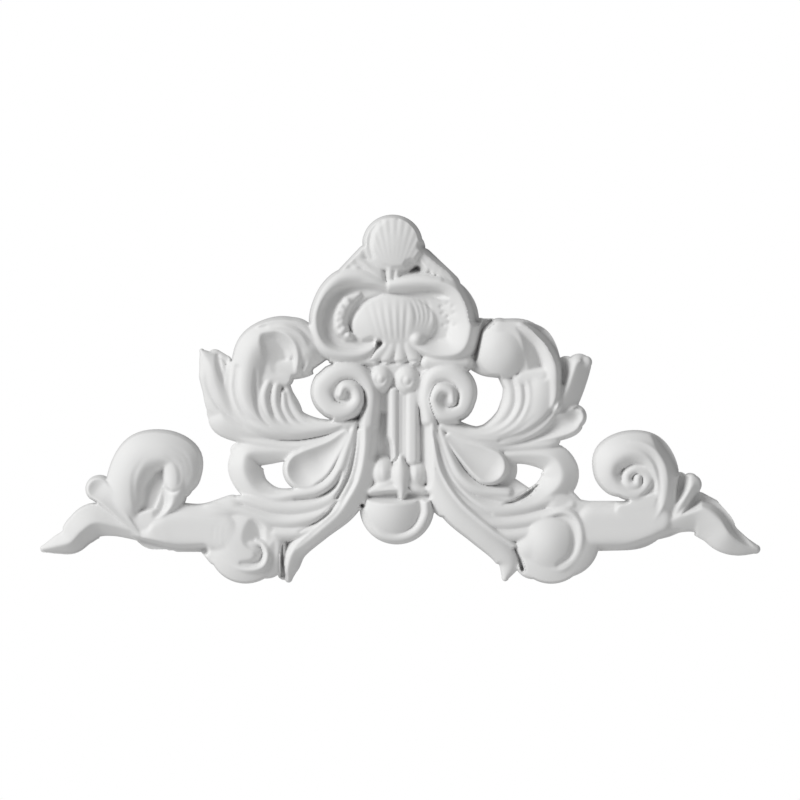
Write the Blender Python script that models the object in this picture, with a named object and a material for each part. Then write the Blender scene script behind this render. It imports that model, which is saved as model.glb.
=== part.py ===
# Shell and scroll onlay: one moulded casting with a flat back.
# Metres, Z up. The back lies in the plane y = 0 and faces +Y; the carving faces -Y.
# The relief is worked out as a height over the back from named forms: bands that follow a smooth path,
# domes, pockets and grooves, all given in millimetres.
import math

import bmesh
import bpy
import numpy as np

MM = 0.001
GRID = 1.0                # spacing of the relief grid
LEFT, RIGHT = -182.0, 183.0
BOTTOM, TOP = -96.0, 96.0
LAND = 6.0                # upright edge at the back
DRAFT = 5.0               # height gained per millimetre inwards from the edge
LEAST = 3.0               # thinnest ground
OUTSET = 0.45             # growth of the outline
EDGE_BLEND = 1.2          # rounding between carving and draft
FORM_BLEND = 0.4          # rounding where two forms meet
WALL = 3.0                # height lost per millimetre outside a form
FACETS = 9700             # triangles in the finished solid
BACK_BAND = 0.6           # vertices nearer the back than this lie on it

for old in list(bpy.data.objects):
    bpy.data.objects.remove(old, do_unlink=True)


def through(points, per):
    # rows on a smooth path through the given rows, every column blended alike
    p = np.array(points, float)
    if len(p) == 1:
        step = np.zeros_like(p)
        step[0, 0] = 0.01
        return np.vstack([p, p + step])
    t = np.linspace(0, 1, per, endpoint=False)[:, None]
    if len(p) == 2:
        return np.vstack([p[0] * (1 - t) + p[1] * t, p[1]])
    q = np.vstack([2 * p[0] - p[1], p, 2 * p[-1] - p[-2]])
    rows = []
    for a, b, c, d in zip(q, q[1:], q[2:], q[3:]):
        turn = (2 * a - 5 * b + 4 * c - d) * t ** 2 + (3 * b - a - 3 * c + d) * t ** 3
        rows.append(0.5 * (2 * b + (c - a) * t + turn))
    return np.vstack(rows + [p[-1]])


class Relief:
    def __init__(self):
        self.x = np.arange(LEFT, RIGHT, GRID)
        self.z = np.arange(BOTTOM, TOP, GRID)
        self.grid_x, self.grid_z = np.meshgrid(self.x, self.z)
        self.height = np.full(self.grid_x.shape, -1.0)
        self.inside = np.full(self.grid_x.shape, -50.0)

    def span(self, low, high, axis):
        # grid indices that cover a range
        first = max(0, int((low - axis[0]) / GRID))
        last = min(len(axis), int((high - axis[0]) / GRID) + 2)
        return first, max(first, last)

    def along(self, rows, margin):
        # nearest place on the path for each grid point near it
        reach = rows[:, 2].max() + margin
        i0, i1 = self.span(rows[:, 0].min() - reach, rows[:, 0].max() + reach, self.x)
        j0, j1 = self.span(rows[:, 1].min() - reach, rows[:, 1].max() + reach, self.z)
        window = (slice(j0, j1), slice(i0, i1))
        gx, gz = self.grid_x[window], self.grid_z[window]
        nearest = np.full(gx.shape, 1e3)
        side = np.ones(gx.shape)
        place = np.zeros(gx.shape)
        for k, (a, b) in enumerate(zip(rows, rows[1:])):
            r = max(a[2], b[2]) + margin
            m0, m1 = self.span(min(a[0], b[0]) - r, max(a[0], b[0]) + r, self.x)
            n0, n1 = self.span(min(a[1], b[1]) - r, max(a[1], b[1]) + r, self.z)
            part = (slice(n0 - j0, n1 - j0), slice(m0 - i0, m1 - i0))
            x, z = gx[part] - a[0], gz[part] - a[1]
            dx, dz = b[0] - a[0], b[1] - a[1]
            t = np.clip((x * dx + z * dz) / max(dx * dx + dz * dz, 1e-9), 0, 1)
            away = np.hypot(x - t * dx, z - t * dz)
            closer = away < nearest[part]
            nearest[part] = np.where(closer, away, nearest[part])
            side[part] = np.where(closer, np.sign(dx * z - dz * x), side[part])
            place[part] = np.where(closer, k + t, place[part])
        k = np.minimum(place.astype(int), len(rows) - 2)
        f = place - k
        width = np.maximum(rows[k, 2] * (1 - f) + rows[k + 1, 2] * f, 0.05)
        level = rows[k, 3] * (1 - f) + rows[k + 1, 3] * f
        return window, nearest, side * nearest / width, width, level

    def raise_to(self, window, form):
        old = self.height[window]
        gap = np.abs(old - form)
        blend = np.where(gap < FORM_BLEND, (FORM_BLEND - gap) ** 2 / (4 * FORM_BLEND), 0)
        self.height[window] = np.maximum(old, form) + blend

    def band(self, points, steep=0.7, lean=0.0, power=2.0, solid=True, cap=6.0, dip=0.0, rim=0.75,
             tilt=0.0, per=8):
        # points (x, z, half width, crest). The height falls from the crest, which lean moves aside, to the
        # edges by steep times the half width, at most cap. A dip hollows it between two rims and a tilt
        # slopes the whole band across.
        rows = through(points, per)
        rows[:, 2] = np.maximum(rows[:, 2], 0.15)
        window, away, across, width, crest = self.along(rows, 6.0)
        v = np.clip(across, -1, 1)
        fall = np.where(v > lean, (v - lean) / (1 - lean), (lean - v) / (1 + lean)) ** power
        if dip:
            q = np.abs(v)
            fall = np.where(q < rim, dip * (1 - (q / rim) ** 2), ((q - rim) / (1 - rim)) ** 2)
        form = crest - np.minimum(steep * width, cap) * fall - tilt * width * v
        form = form - WALL * np.maximum(away - width, 0)
        self.raise_to(window, form)
        if solid:
            self.inside[window] = np.maximum(self.inside[window], width - away)

    def dome(self, cx, cz, rx, rz, top, drop, power=2.0, mode="max", solid=True, ribs=None):
        # an oval boss; ribs (x, z, spread, count, depth, turn) fan out from a hinge
        r = np.hypot((self.grid_x - cx) / rx, (self.grid_z - cz) / rz)
        inward = (1 - r) * min(rx, rz)
        form = top - drop * np.minimum(r, 1) ** power
        if ribs:
            hx, hz, spread, count, depth, turn = ribs
            angle = np.degrees(np.arctan2(self.grid_x - hx, self.grid_z - hz)) - turn
            fluted = 1 - np.abs(np.cos(np.pi * count * angle / spread / 2))
            form = form - depth * fluted * np.clip(r * 2, 0.2, 1)
        if mode == "over":
            self.height = np.where(inward > 0, form, self.height)
        else:
            self.raise_to((slice(None), slice(None)), form + WALL * np.minimum(inward, 0))
        if solid:
            self.inside = np.maximum(self.inside, inward)

    def groove(self, points, per=8):
        # points (x, z, half width, depth)
        rows = through(points, per)
        rows[:, 2] = np.maximum(rows[:, 2], 0.1)
        window, away, across, width, depth = self.along(rows, 1.0)
        self.height[window] -= depth * np.clip(1 - across ** 2, 0, 1)

    def pocket(self, points, wall=WALL, tilt=0.0, per=8):
        # points (x, z, half width, floor): a floor, level or tilted across, with walls that rise outwards
        window, away, across, width, floor = self.along(through(points, per), 8.0)
        floor = floor - tilt * width * np.clip(across, -1, 1) + wall * np.maximum(away - width, 0)
        self.height[window] = np.minimum(self.height[window], floor)

    def hole(self, points, per=8):
        # points (x, z, half width) left open from front to back
        rows = through([tuple(p) + (0.0,) for p in points], per)
        window, away, across, width, level = self.along(rows, 4.0)
        self.inside[window] = np.minimum(self.inside[window], away - width)

    def drafted(self):
        # the carving held under a drafted edge all round the outline
        self.inside += OUTSET
        within = self.inside > 0
        ring = np.pad(within, 1)
        rows, cols = within.shape
        near = [(j, i) for j in (-1, 0, 1) for i in (-1, 0, 1) if j or i]
        border = np.zeros_like(within)
        for j, i in near:
            border |= ~ring[1 + j:1 + j + rows, 1 + i:1 + i + cols]
        depth = np.where(within, np.where(border, np.minimum(self.inside, 1.5 * GRID), 1e3), 0)
        for _ in range(int(9 / GRID)):
            wide = np.pad(depth, 1, mode="edge")
            for j, i in near:
                shifted = wide[1 + j:1 + j + rows, 1 + i:1 + i + cols]
                depth = np.minimum(depth, shifted + GRID * math.hypot(j, i))
        skirt = LAND + DRAFT * np.where(within, depth, 0)
        carved = np.maximum(self.height, LEAST)
        gap = np.abs(carved - skirt)
        return np.minimum(carved, skirt) - np.where(gap < EDGE_BLEND,
           (EDGE_BLEND - gap) ** 2 / (4 * EDGE_BLEND), 0)


def low_ground(r):
    # ground
    # stem and crown ground
    r.band([(0, 20, 15, 6), (0, -10, 13, 5), (0, -46, 14.5, 5)], steep=0.1)
    r.band([(-2, 24, 30, 10), (-3, 40, 36, 11), (-3, 52, 30, 11), (-3, 62, 20, 11)], steep=0.02)
    # ground of the left leaf, its fan, loop and blade
    r.band([(-22, -13, 4, 6), (-40, -19, 7, 6), (-60, -18, 8, 6), (-76, -6, 10, 6), (-76, 15, 8, 7),
           (-66, 26, 10, 7), (-54, 26, 11, 7)], steep=0.1)
    r.band([(-63, 8, 6, 6), (-58.5, -4, 7.9, 6), (-52.2, -12.4, 6.9, 6), (-38, -15.5, 5, 6),
           (-26, -14, 4, 6)], steep=0.1)
    r.band([(-53, 18, 7.4, 7), (-46, 19.5, 6.6, 7), (-39.5, 22, 4, 6)], steep=0.1)
    r.band([(-19, -20, 5, 6), (-27, -45, 7, 6), (-45, -57, 9, 7), (-62, -64, 10, 7),
           (-76, -71, 12, 7)], steep=0.1)
    r.band([(-24, -20, 3, 6), (-38, -33, 9, 6), (-50, -36, 7, 6)], steep=0.1)
    r.band([(-58, -68, 5, 6), (-58.5, -80, 4.2, 5), (-58, -87.5, 2.6, 4)], steep=0.05)
    # inside the left wing curl, and the strip that joins wing and leaf
    r.dome(-121, -46, 14, 14, 8, 0.5)
    r.band([(-112, -56, 4, 11), (-98, -58.6, 6.0, 12), (-84, -54.5, 6.2, 12)], steep=0.4)
    # ground of the right leaf, its wedges, fan and blade
    r.band([(21, -13, 5, 6), (40, -20, 6, 6), (60, -17, 9, 6), (73, -4, 8, 6), (73, 15, 8, 7),
           (64, 25, 10, 7), (52, 25, 11, 7)], steep=0.1)
    r.band([(-66, 20, 7, 8), (-62, 12, 6.5, 8)], steep=0.1)
    r.band([(-58, 13.2, 3.2, 8), (-48, 15.3, 3.8, 8), (-40, 19, 3, 8)], steep=0.2)
    r.band([(33, 16.5, 2.4, 7), (36, 18.2, 2.8, 7), (43, 15.6, 3.4, 8), (52, 14.2, 3.2, 9)], steep=0.2)
    r.band([(57, -43.5, 3.4, 8), (62.5, -48, 4, 9)], steep=0.2)
    r.band([(66, 20, 6, 8), (64, 10, 6, 7)], steep=0.1)
    r.band([(-17, -9, 6, 5), (-30, -12.5, 3, 5.5)], steep=0.1)
    r.band([(60, 7, 7.4, 6), (59.5, -4, 8.8, 6), (51, -15, 6.5, 6), (38, -19, 5, 6),
           (26, -15, 5, 6)], steep=0.1)
    r.band([(40.5, 37.5, 3, 3.5), (38.5, 28, 3.4, 3.5), (38, 19.3, 3.6, 3.5)], steep=0.05)
    r.band([(46, 37, 3.2, 3.5), (41, 36.8, 3.4, 3.5)], steep=0.05)
    r.band([(83.5, 17, 4.4, 4), (81, 8, 4, 4)], steep=0.05)
    r.band([(19, -20, 5, 6), (27, -45, 7, 6), (45, -57, 10, 7), (62, -64, 10, 7),
           (80, -71, 14, 7)], steep=0.1)
    r.band([(24, -20, 3, 6), (38, -33, 9, 6), (50, -36, 7, 6)], steep=0.1)
    r.band([(60, -68, 5, 6), (58, -80, 4.6, 5)], steep=0.05)
    r.band([(64, -55, 5, 8), (76, -54, 6, 9)], steep=0.1)
    r.band([(78, -52, 6, 12), (92, -57, 6.0, 11), (112, -58, 6, 11)], steep=0.4)
    r.band([(16, -48, 4.6, 6), (22, -54.5, 4.2, 6)], steep=0.1)


def wings(r):
    # wings
    # left wing: outer roll of the curl, then the level band that runs to the lower curl
    r.band([(-133, -64, 4.4, 9), (-137, -54, 8.8, 14), (-136.5, -40, 9.8, 16.5),
           (-129.5, -28, 10.6, 17.5), (-118, -25, 9.4, 18), (-108.5, -29.5, 8.8, 17),
       (-107, -38, 7.0, 15.5), (-109.5, -44, 5.2, 14)], steep=0.7, lean=-0.3, power=2.2, cap=5.5)
    r.band([(-131, -61, 4, 11), (-120, -59.5, 5, 12)], steep=0.04)
    r.band([(-132, -66, 3, 10), (-125, -68.4, 6.0, 12.5), (-118.5, -66.4, 9.2, 13),
           (-112, -65, 11.0, 13), (-97, -65.2, 11.0, 13.5),
           (-88, -67, 11, 14)], steep=0.6, power=5, cap=6.5)
    r.band([(-97, -71, 5, 11), (-90.5, -76.5, 6.5, 11)], steep=0.3)
    # sloping socket, the folded end of the roll, the leaf under it and the dark nook between
    r.band([(-121, -24.5, 2.4, 17), (-114, -26.6, 4.8, 17.4), (-111.6, -34, 5.6, 17),
           (-112, -42, 5.2, 16), (-114.4, -49.6, 5.0, 14.8),
           (-119, -56, 3.2, 13.4)], steep=0.5, power=2.4)
    r.pocket([(-127, -39.6, 1.2, 15), (-125.6, -43.6, 3.8, 13), (-124.4, -50, 5.2, 12.4),
           (-125, -56.6, 4.0, 12.4), (-124.6, -60, 1.0, 12.6)], wall=1.6, tilt=0.6)
    r.pocket([(-119.4, -39.6, 0.1, 15), (-117, -43.4, 0.7, 11.5), (-113.8, -44.4, 0.6, 12.5),
           (-111.2, -42.4, 0.1, 15.6)], wall=2.6)
    # faint rings on the roll
    for k in range(3):
        r.groove([(-114 - 1.2 * k, -23.4 - 2.1 * k, 0.8, 0.1),
           (-107 - 1.6 * k, -28 - 1.8 * k, 1.2, 0.35),
           (-104.6 - 1.9 * k, -36.5 - 0.6 * k, 1.2, 0.35), (-107.6 - 1.6 * k, -43.6, 0.8, 0.1)])
    r.groove([(-127.5, -29.5, 0.8, 0.1), (-131.8, -37, 1.4, 0.4), (-132.6, -47, 1.4, 0.5),
           (-130.5, -60, 0.8, 0.1)])
    # foot of the left wing and its spoon-shaped lobe
    r.band([(-129.5, -66.6, 4, 11), (-142, -62.5, 5.8, 12), (-152.5, -60.7, 8.5, 13),
           (-159.8, -65.4, 8.0, 12.5), (-164.8, -70.7, 6.5, 11), (-171.4, -72.9, 4.4, 8.5),
           (-178.4, -74.9, 1.5, 5)],
      steep=0.8, lean=0.12, power=1.15, cap=6.5, tilt=0.45)
    r.band([(-130.5, -67.5, 1.0, 11.5), (-138.5, -58, 2.8, 13), (-145.5, -49.5, 4.9, 13.5),
           (-150.6, -44.7, 6.4, 12.6)], dip=0.55, rim=0.78, steep=0.4)

    # right wing: outer roll of the curl, the level band and the ground under its eye
    r.band([(131, -60, 6, 12), (132.6, -48, 6.4, 15), (130.8, -36, 8.8, 16.5),
           (124.6, -27, 9.6, 17.5), (115, -25, 9.0, 18), (106.7, -29.3, 9.0, 17.5),
           (104.4, -36.5, 6.6, 16),
       (107.5, -42.5, 5.2, 15), (113, -45.2, 3.8, 14.5)], steep=0.75, lean=0.15, power=1.8, cap=6.5)
    r.band([(129, -60, 8.5, 13.5), (119, -63, 11.4, 13.5), (105, -63.4, 12.0, 13.5),
           (97, -63.4, 12.0, 13.5)], steep=0.6, power=5, cap=6.5)
    r.band([(112, -56, 4, 13.5), (127, -53, 6, 13.5)], steep=0.04)
    # bead and groove along the roll
    r.band([(122, -23, 0.6, 17.4), (127.5, -26, 1.3, 17.4), (131.8, -33, 1.5, 17.0),
           (133.2, -42, 1.5, 15.9), (131.3, -53, 1.1, 14.5),
           (126, -62, 0.4, 13.4)], steep=0.6, solid=False)
    r.groove([(121, -25.5, 0.9, 0.4), (126.2, -29.5, 1.4, 1.3), (129.2, -36, 1.4, 1.4),
           (130.2, -46, 1.1, 0.8), (127.6, -54, 0.7, 0.3)])
    # the roll winds on into a low eye
    r.dome(117.4, -40.6, 8.4, 8, 12, 0.5)
    r.band([(117, -46.5, 3, 12), (124, -44, 4, 12)], steep=0.1)
    r.band([(108.5, -43.5, 3.0, 14.6), (113.5, -46.4, 3.4, 14.6), (119.5, -46.4, 3.2, 14.6),
           (123.8, -42.6, 3.0, 14.8), (122.8, -37, 2.8, 15), (117.8, -34.8, 2.4, 15.2),
       (113.6, -37.8, 2.2, 15.2), (114.4, -42.2, 2.1, 15.2), (118.4, -42.6, 1.9, 15.4),
           (119, -39.2, 1.5, 15.6)], steep=0.6, cap=1.3, power=2.4, per=6)
    r.pocket([(126.4, -38, 0.1, 15), (126.6, -43, 0.6, 12), (123.6, -46.8, 0.5, 12),
           (119, -48.8, 0.1, 14)], wall=2.4)
    r.groove([(110.6, -40.5, 0.6, 0.3), (111.6, -35.6, 0.9, 0.7), (116, -32.4, 0.9, 0.8),
           (121.6, -33, 0.8, 0.5)])
    # foot of the right wing, its lobe and the wedges beside it
    r.band([(126, -66, 4.5, 11), (133, -63.6, 5.2, 12), (140, -60.6, 5.8, 12.6),
           (149.5, -57.8, 9.8, 13.5), (157.8, -63.1, 9.0, 13), (163.4, -69.2, 7.4, 12),
           (170.4, -72.9, 5.3, 9), (178.8, -75.1, 1.9, 5.5)],
      steep=0.7, lean=0.35, power=1.4, cap=6.5)
    r.band([(136, -62, 1.5, 11), (140.5, -53, 3, 12.3), (145, -45, 4.6, 13),
           (146.4, -42.6, 4.6, 12.8)], steep=0.7, power=1.2, cap=3, tilt=-0.15)
    r.band([(146, -40.5, 3.2, 11), (148.6, -42.5, 2.2, 11)], steep=0.4)
    r.band([(141, -39.5, 2.6, 5.5), (139.5, -47, 2.4, 6)], steep=0.1)
    r.band([(150.5, -50, 3.2, 6), (157, -53.5, 3.2, 6)], steep=0.1)
    # steep outer walls on the side away from the light, and along the bottom of both bands
    r.pocket([(117, -15.4, 0.1, 17), (124, -16.6, 0.3, 8), (130.5, -20, 0.8, 4),
           (136.6, -27.5, 1.2, 4), (140, -35.5, 0.8, 4)], wall=3)
    r.pocket([(141.8, -39, 1.4, 4), (140.2, -46, 1.0, 5), (137.4, -54, 0.1, 12)], wall=4)
    r.pocket([(150.5, -48.5, 1.6, 4), (147, -52, 1.0, 5), (141, -57.5, 0.1, 12)], wall=3.5)
    r.pocket([(152, -49.5, 0.8, 4), (158, -52, 1.0, 4), (163.5, -57, 1.0, 4), (168.4, -65, 1.0, 4),
           (173.6, -70.8, 0.8, 4.5), (178.6, -74.4, 0.2, 6)], wall=3)
    r.pocket([(-137, -66, 0.1, 11), (-128.5, -72, 0.6, 4), (-113, -76, 1.0, 4),
           (-98, -76, 1.0, 4)], wall=3.2)
    r.pocket([(97, -76, 0.6, 4.5), (113, -77, 1.6, 4.5), (126, -73.4, 1.6, 4.5),
           (137, -67.6, 0.8, 6), (146, -64, 0.1, 12)], wall=2.6)


def lower_curls(r):
    # lower curls
    # left lower curl: boss, hollow, scroll eye and rolled rim
    r.dome(-77.0, -73.3, 18.4, 18.5, 14.5, 4.5, power=2.6)
    r.dome(-66.5, -80.3, 9, 9, 12, 3)
    r.pocket([(-75.6, -61.4, 3.2, 12.8), (-74.4, -67.4, 4.4, 12.4)], wall=1.4, tilt=0.42)
    r.pocket([(-65.8, -65.4, 2.6, 11.8), (-65.8, -69, 2.6, 11.8)], wall=0.8)
    r.band([(-80, -73.2, 1.4, 12.8), (-74.5, -72.6, 1.8, 13.6),
           (-69.5, -72.6, 1.4, 13)], steep=0.5, solid=False)
    r.pocket([(-69.4, -75, 0.8, 10.5), (-69.2, -79.4, 0.9, 10), (-73, -81.8, 0.6, 11.5),
           (-79, -81.8, 0.4, 12.8)], wall=1.4)
    r.dome(-74.4, -76.4, 5.0, 4.6, 14.2, 2.2, solid=False)
    r.band([(-71.4, -70.6, 0.8, 12.8), (-67.8, -72.8, 1.3, 14), (-66.0, -77.6, 1.5, 14.8),
           (-67.8, -82.8, 1.6, 15), (-73, -84.8, 1.5, 14.8), (-80, -84.2, 1.2, 14),
           (-86, -80.4, 0.7, 13.2)], steep=0.8, solid=False)
    for k in range(3):
        r.groove([(-84 - 2.6 * k, -57.5 - 1.2 * k, 0.7, 0.05), (-87.6 - 2.6 * k, -65, 1.0, 0.13),
           (-87 - 2.4 * k, -74, 1.0, 0.13), (-82 - 2.2 * k, -80.5 - 2 * k, 0.7, 0.05)])
    r.band([(-62, -68, 3, 12), (-61, -76, 3.2, 12), (-63, -82.5, 3.5, 11)], steep=0.5)
    # right lower curl: boss, domed eye, ring and rim
    r.dome(81.6, -71.6, 18.0, 17.3, 14.5, 4.5, power=2.6)
    r.dome(76, -74.3, 17.6, 17.6, 14, 3.5)
    r.dome(67, -80.4, 9, 9.2, 12, 3)
    r.dome(75.5, -71.2, 12.6, 12.4, 17.6, 4.6, power=1.9, solid=False)
    r.dome(68, -73, 9, 8, 15, 3.5, solid=False)
    r.groove([(76, -57.5, 0.6, 0.3), (84.0, -61, 1.5, 0.8), (87.2, -69, 1.8, 1.4),
           (85.4, -77.4, 1.8, 1.4), (79, -82.6, 1.2, 0.8)])
    r.band([(72, -58.6, 1.2, 13.6), (82, -56, 1.5, 14.2), (88.6, -60, 1.6, 14.6),
           (90.8, -69, 1.6, 14.6), (88.4, -78.5, 1.5, 13.8), (81, -84.9, 1.3, 13),
           (72, -84.2, 0.8, 12.6)], steep=0.7, solid=False)


def left_acanthus(r):
    # left acanthus, back to front
    # outer tip leaf and second lobe
    r.band([(-78, -16, 5, 9), (-86.6, -4, 9.0, 11.5), (-91.4, 7, 7.4, 12.5), (-93.6, 15, 7.0, 12.5),
           (-96.6, 21.4, 3.9, 10.5), (-98.2, 23.4, 1.8, 9)], steep=0.5, lean=0.0, power=1.4, cap=4)
    r.band([(-92.6, 21.6, 3.2, 8), (-88, 18.6, 3.4, 8)], steep=0.3)
    r.band([(-87, 14, 4, 6), (-88, 18.5, 3.6, 6)], steep=0.1)
    r.groove([(-91, 22, 1.3, 1.0), (-90, 16, 1.5, 1.4), (-87.6, 8, 0.9, 0.6)])
    r.groove([(-97, 16, 0.6, 0.1), (-95.6, 6, 0.9, 0.5), (-90, -4, 1.0, 0.7), (-78, -13, 0.9, 0.6),
           (-62, -18.4, 0.6, 0.2)])
    r.groove([(-96.6, -5.5, 0.6, 0.1), (-90, -10, 0.9, 0.6), (-78, -15.4, 0.9, 0.7),
           (-62, -19, 0.7, 0.4)])
    r.groove([(-93, -12, 0.6, 0.1), (-84, -16, 0.8, 0.6), (-70, -18.6, 0.8, 0.5),
           (-56, -19.6, 0.6, 0.2)])
    r.band([(-62, -19, 4, 10), (-76, -16, 6, 11), (-86.4, -11, 7.6, 11),
           (-89.4, -6.2, 6.8, 10)], steep=0.6, power=1.4, cap=4)
    # stem that rises into the big curl, its outer rim and channel
    r.band([(-24, -12, 2, 13), (-38, -14, 3.6, 13.5), (-54, -15, 5, 14), (-68, -11, 7.5, 15),
           (-75.5, 0, 8.7, 16), (-75.5, 14, 8.8, 17), (-71.5, 25.5, 10, 18), (-62.5, 31.5, 9.4, 18.5),
       (-53.5, 31, 9.4, 18), (-47, 25, 8.6, 16.5)], steep=0.6, lean=0.05, power=1.8, cap=5.5)
    r.band([(-84.5, 18, 1.2, 10.5), (-85.5, 6, 2.2, 11), (-82, -6, 2.6, 11),
           (-72, -15, 2.4, 11)], steep=0.2)
    r.groove([(-81, 16, 1.8, 1.5), (-81.5, 4, 2, 2), (-77, -7, 2, 1.6), (-66, -14, 1.6, 1)])
    # hollow under the curl and the ribs that fall over its end
    r.band([(-67, 12, 3, 11), (-64, 20, 5, 11.5), (-62, 26, 5, 12.5)], steep=0.2)
    r.band([(-66, 13, 4, 13), (-63, 19, 6.4, 14), (-60, 26, 7, 15.5)], steep=0.1)
    r.pocket([(-67.5, 32, 0.6, 16), (-64.4, 28, 3.0, 14.4), (-62, 22.6, 4.6, 13),
           (-61.6, 18, 5.0, 12.4)], wall=0.8, tilt=0.3)
    r.band([(-70, 37, 1.6, 16.5), (-60, 38.6, 2.2, 17), (-50, 37.2, 3.0, 16.5),
           (-43.8, 31, 3.4, 15.5), (-40.4, 24, 3.0, 13), (-41.5, 18.5, 2.4, 11.5)], steep=0.7)
    r.band([(-65, 36, 1.4, 17.5), (-57, 36, 2.2, 18.5), (-50, 32.5, 2.6, 18), (-46.2, 26, 2.8, 16.5),
           (-45.6, 19, 2.6, 14), (-47.5, 14.5, 2.0, 12)], steep=0.8)
    r.band([(-62, 34.5, 0.9, 18), (-56.5, 32.5, 1.6, 18.8), (-52.3, 28, 2.0, 18.3),
           (-50.6, 21, 2.1, 16.6), (-51.6, 14, 1.7, 13.5)], steep=0.9)
    # leaflets that sweep back along the stem
    r.band([(-62.5, 12, 1.0, 12.5), (-66, 7.5, 2.2, 14.2), (-67.6, 0, 2.6, 14.8),
           (-64.2, -10, 2.0, 14.4), (-55, -16.5, 1.4, 14), (-43, -17, 0.5, 12.6)], steep=0.6)
    r.band([(-59.6, 10.5, 1.2, 12.5), (-61.8, 5, 2.2, 13.8), (-61.6, -4, 2.5, 13.8),
           (-56.6, -12.4, 1.7, 13.6), (-48, -15.8, 1.0, 13.6), (-38, -15.4, 0.5, 13.4)], steep=0.6)
    r.band([(-58, 3, 1.2, 12.5), (-57, -5, 2.2, 13), (-52, -11.6, 1.5, 13.2),
           (-43, -13.8, 0.7, 13.2)], steep=0.6)
    r.band([(-56.5, 6, 1.6, 11), (-53.4, -3.5, 2.2, 12), (-47.5, -10.6, 2.2, 12.4),
           (-36, -12.5, 2, 12.5)], steep=0.6)
    r.groove([(-71.5, 15, 0.8, 0.6), (-71.8, 4, 1.2, 1.5), (-70.2, -6, 1.1, 1.2),
           (-65.5, -12.6, 0.9, 0.8), (-56, -17.6, 0.5, 0.1)])
    r.groove([(-28, -13.5, 0.8, 0.6), (-38, -18.5, 1.1, 0.9), (-52, -21, 1.2, 1.0),
           (-66, -19, 1.1, 0.8), (-76, -14, 0.8, 0.1)])
    r.band([(-26, -15, 1.5, 12), (-38, -21, 2.2, 12), (-54, -23.5, 2.6, 11), (-70, -21.5, 2.6, 10.5),
           (-80, -18.5, 1.6, 9.2), (-86, -15.4, 0.6, 8.6)], steep=0.6)
    # loop round the open eye, and the spoon
    r.band([(-52, -26, 3.6, 11), (-63, -26.2, 5.4, 11), (-74.5, -27.2, 7.2, 11.5),
           (-77.0, -32.6, 8.6, 12.5), (-75.8, -39.2, 7.8, 12.5), (-71, -45.6, 6.4, 12),
           (-62, -49.6, 5.0, 12.5),
       (-50, -48, 3.6, 13), (-39, -44.5, 3, 13.5)], steep=0.75, lean=-0.1, power=1.5, cap=6)
    r.band([(-81, -25.5, 3.4, 7), (-77, -22.5, 3, 7)], steep=0.2)
    r.band([(-27, -17, 1.8, 13), (-33, -24, 5, 13.5), (-41, -31, 9.5, 14),
           (-47.5, -35, 10.7, 14)], dip=0.75, rim=0.8, steep=0.5, cap=4.5)
    r.band([(-22, -12, 1.2, 13), (-26, -24, 2.2, 14), (-31, -37, 2.8, 15), (-39, -44.5, 2.6, 15),
           (-52, -47.4, 2.4, 14), (-62, -48.8, 1.8, 13), (-73, -46, 0.4, 11)], steep=0.7)
    # fan of ribs above the blade
    r.band([(-21, -16, 1.4, 13), (-25, -34, 2.8, 14), (-33, -48.5, 3.6, 14.5), (-46, -53.5, 4.2, 14),
           (-62, -53.5, 3.8, 13), (-76, -50.5, 2.6, 12), (-83, -49.4, 0.6, 10.5)], steep=0.6)
    r.band([(-21, -20, 1.4, 13), (-25, -40, 2.6, 14), (-34, -54, 3.4, 14.5), (-48, -60, 3.4, 14),
           (-62, -60.5, 3.4, 13), (-78, -56, 3.0, 12.6), (-90, -53.5, 1.6, 12),
           (-97, -53, 0.5, 11)], steep=0.7)
    r.band([(-38, -62, 1.4, 13), (-50, -66.5, 2.6, 13), (-62, -67, 3.5, 12.5)], steep=0.6)
    # blade, and the grooves between the ribs
    r.band([(-16, -6, 3.6, 15), (-16.3, -26, 4.2, 15), (-19.5, -42, 5.2, 15.5),
           (-27.2, -54.4, 5.8, 16), (-39.2, -65.2, 4.6, 15), (-50.8, -75, 4.5, 13),
           (-54.6, -83.5, 4.0, 11), (-55.6, -90, 1.4, 7)],
      steep=0.8, lean=-0.35, power=1.15, cap=5)
    r.groove([(-21, -12, 0.7, 1.5), (-22.3, -25, 1.0, 2.5), (-25.5, -38, 1.3, 3.5), (-31, -49, 1.2, 3)])
    r.groove([(-29, -36, 0.6, 1.5), (-33, -44, 1.2, 2.5), (-42, -49.5, 1.0, 1.6), (-52, -50, 0.8, 1)])
    r.groove([(-31, -51, 0.7, 1.5), (-36, -57, 1.1, 3), (-42, -61.5, 0.9, 2.0), (-50, -66, 0.7, 1.0)])
    r.groove([(-22, -40, 0.7, 0.7), (-30, -54.5, 1.0, 1.2), (-41, -64.8, 1.0, 1.2),
           (-52, -74, 0.7, 0.7)])
    r.groove([(-58.6, -73, 0.5, 2), (-58.8, -80, 0.9, 6), (-58.3, -88, 1.2, 8)])


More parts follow.
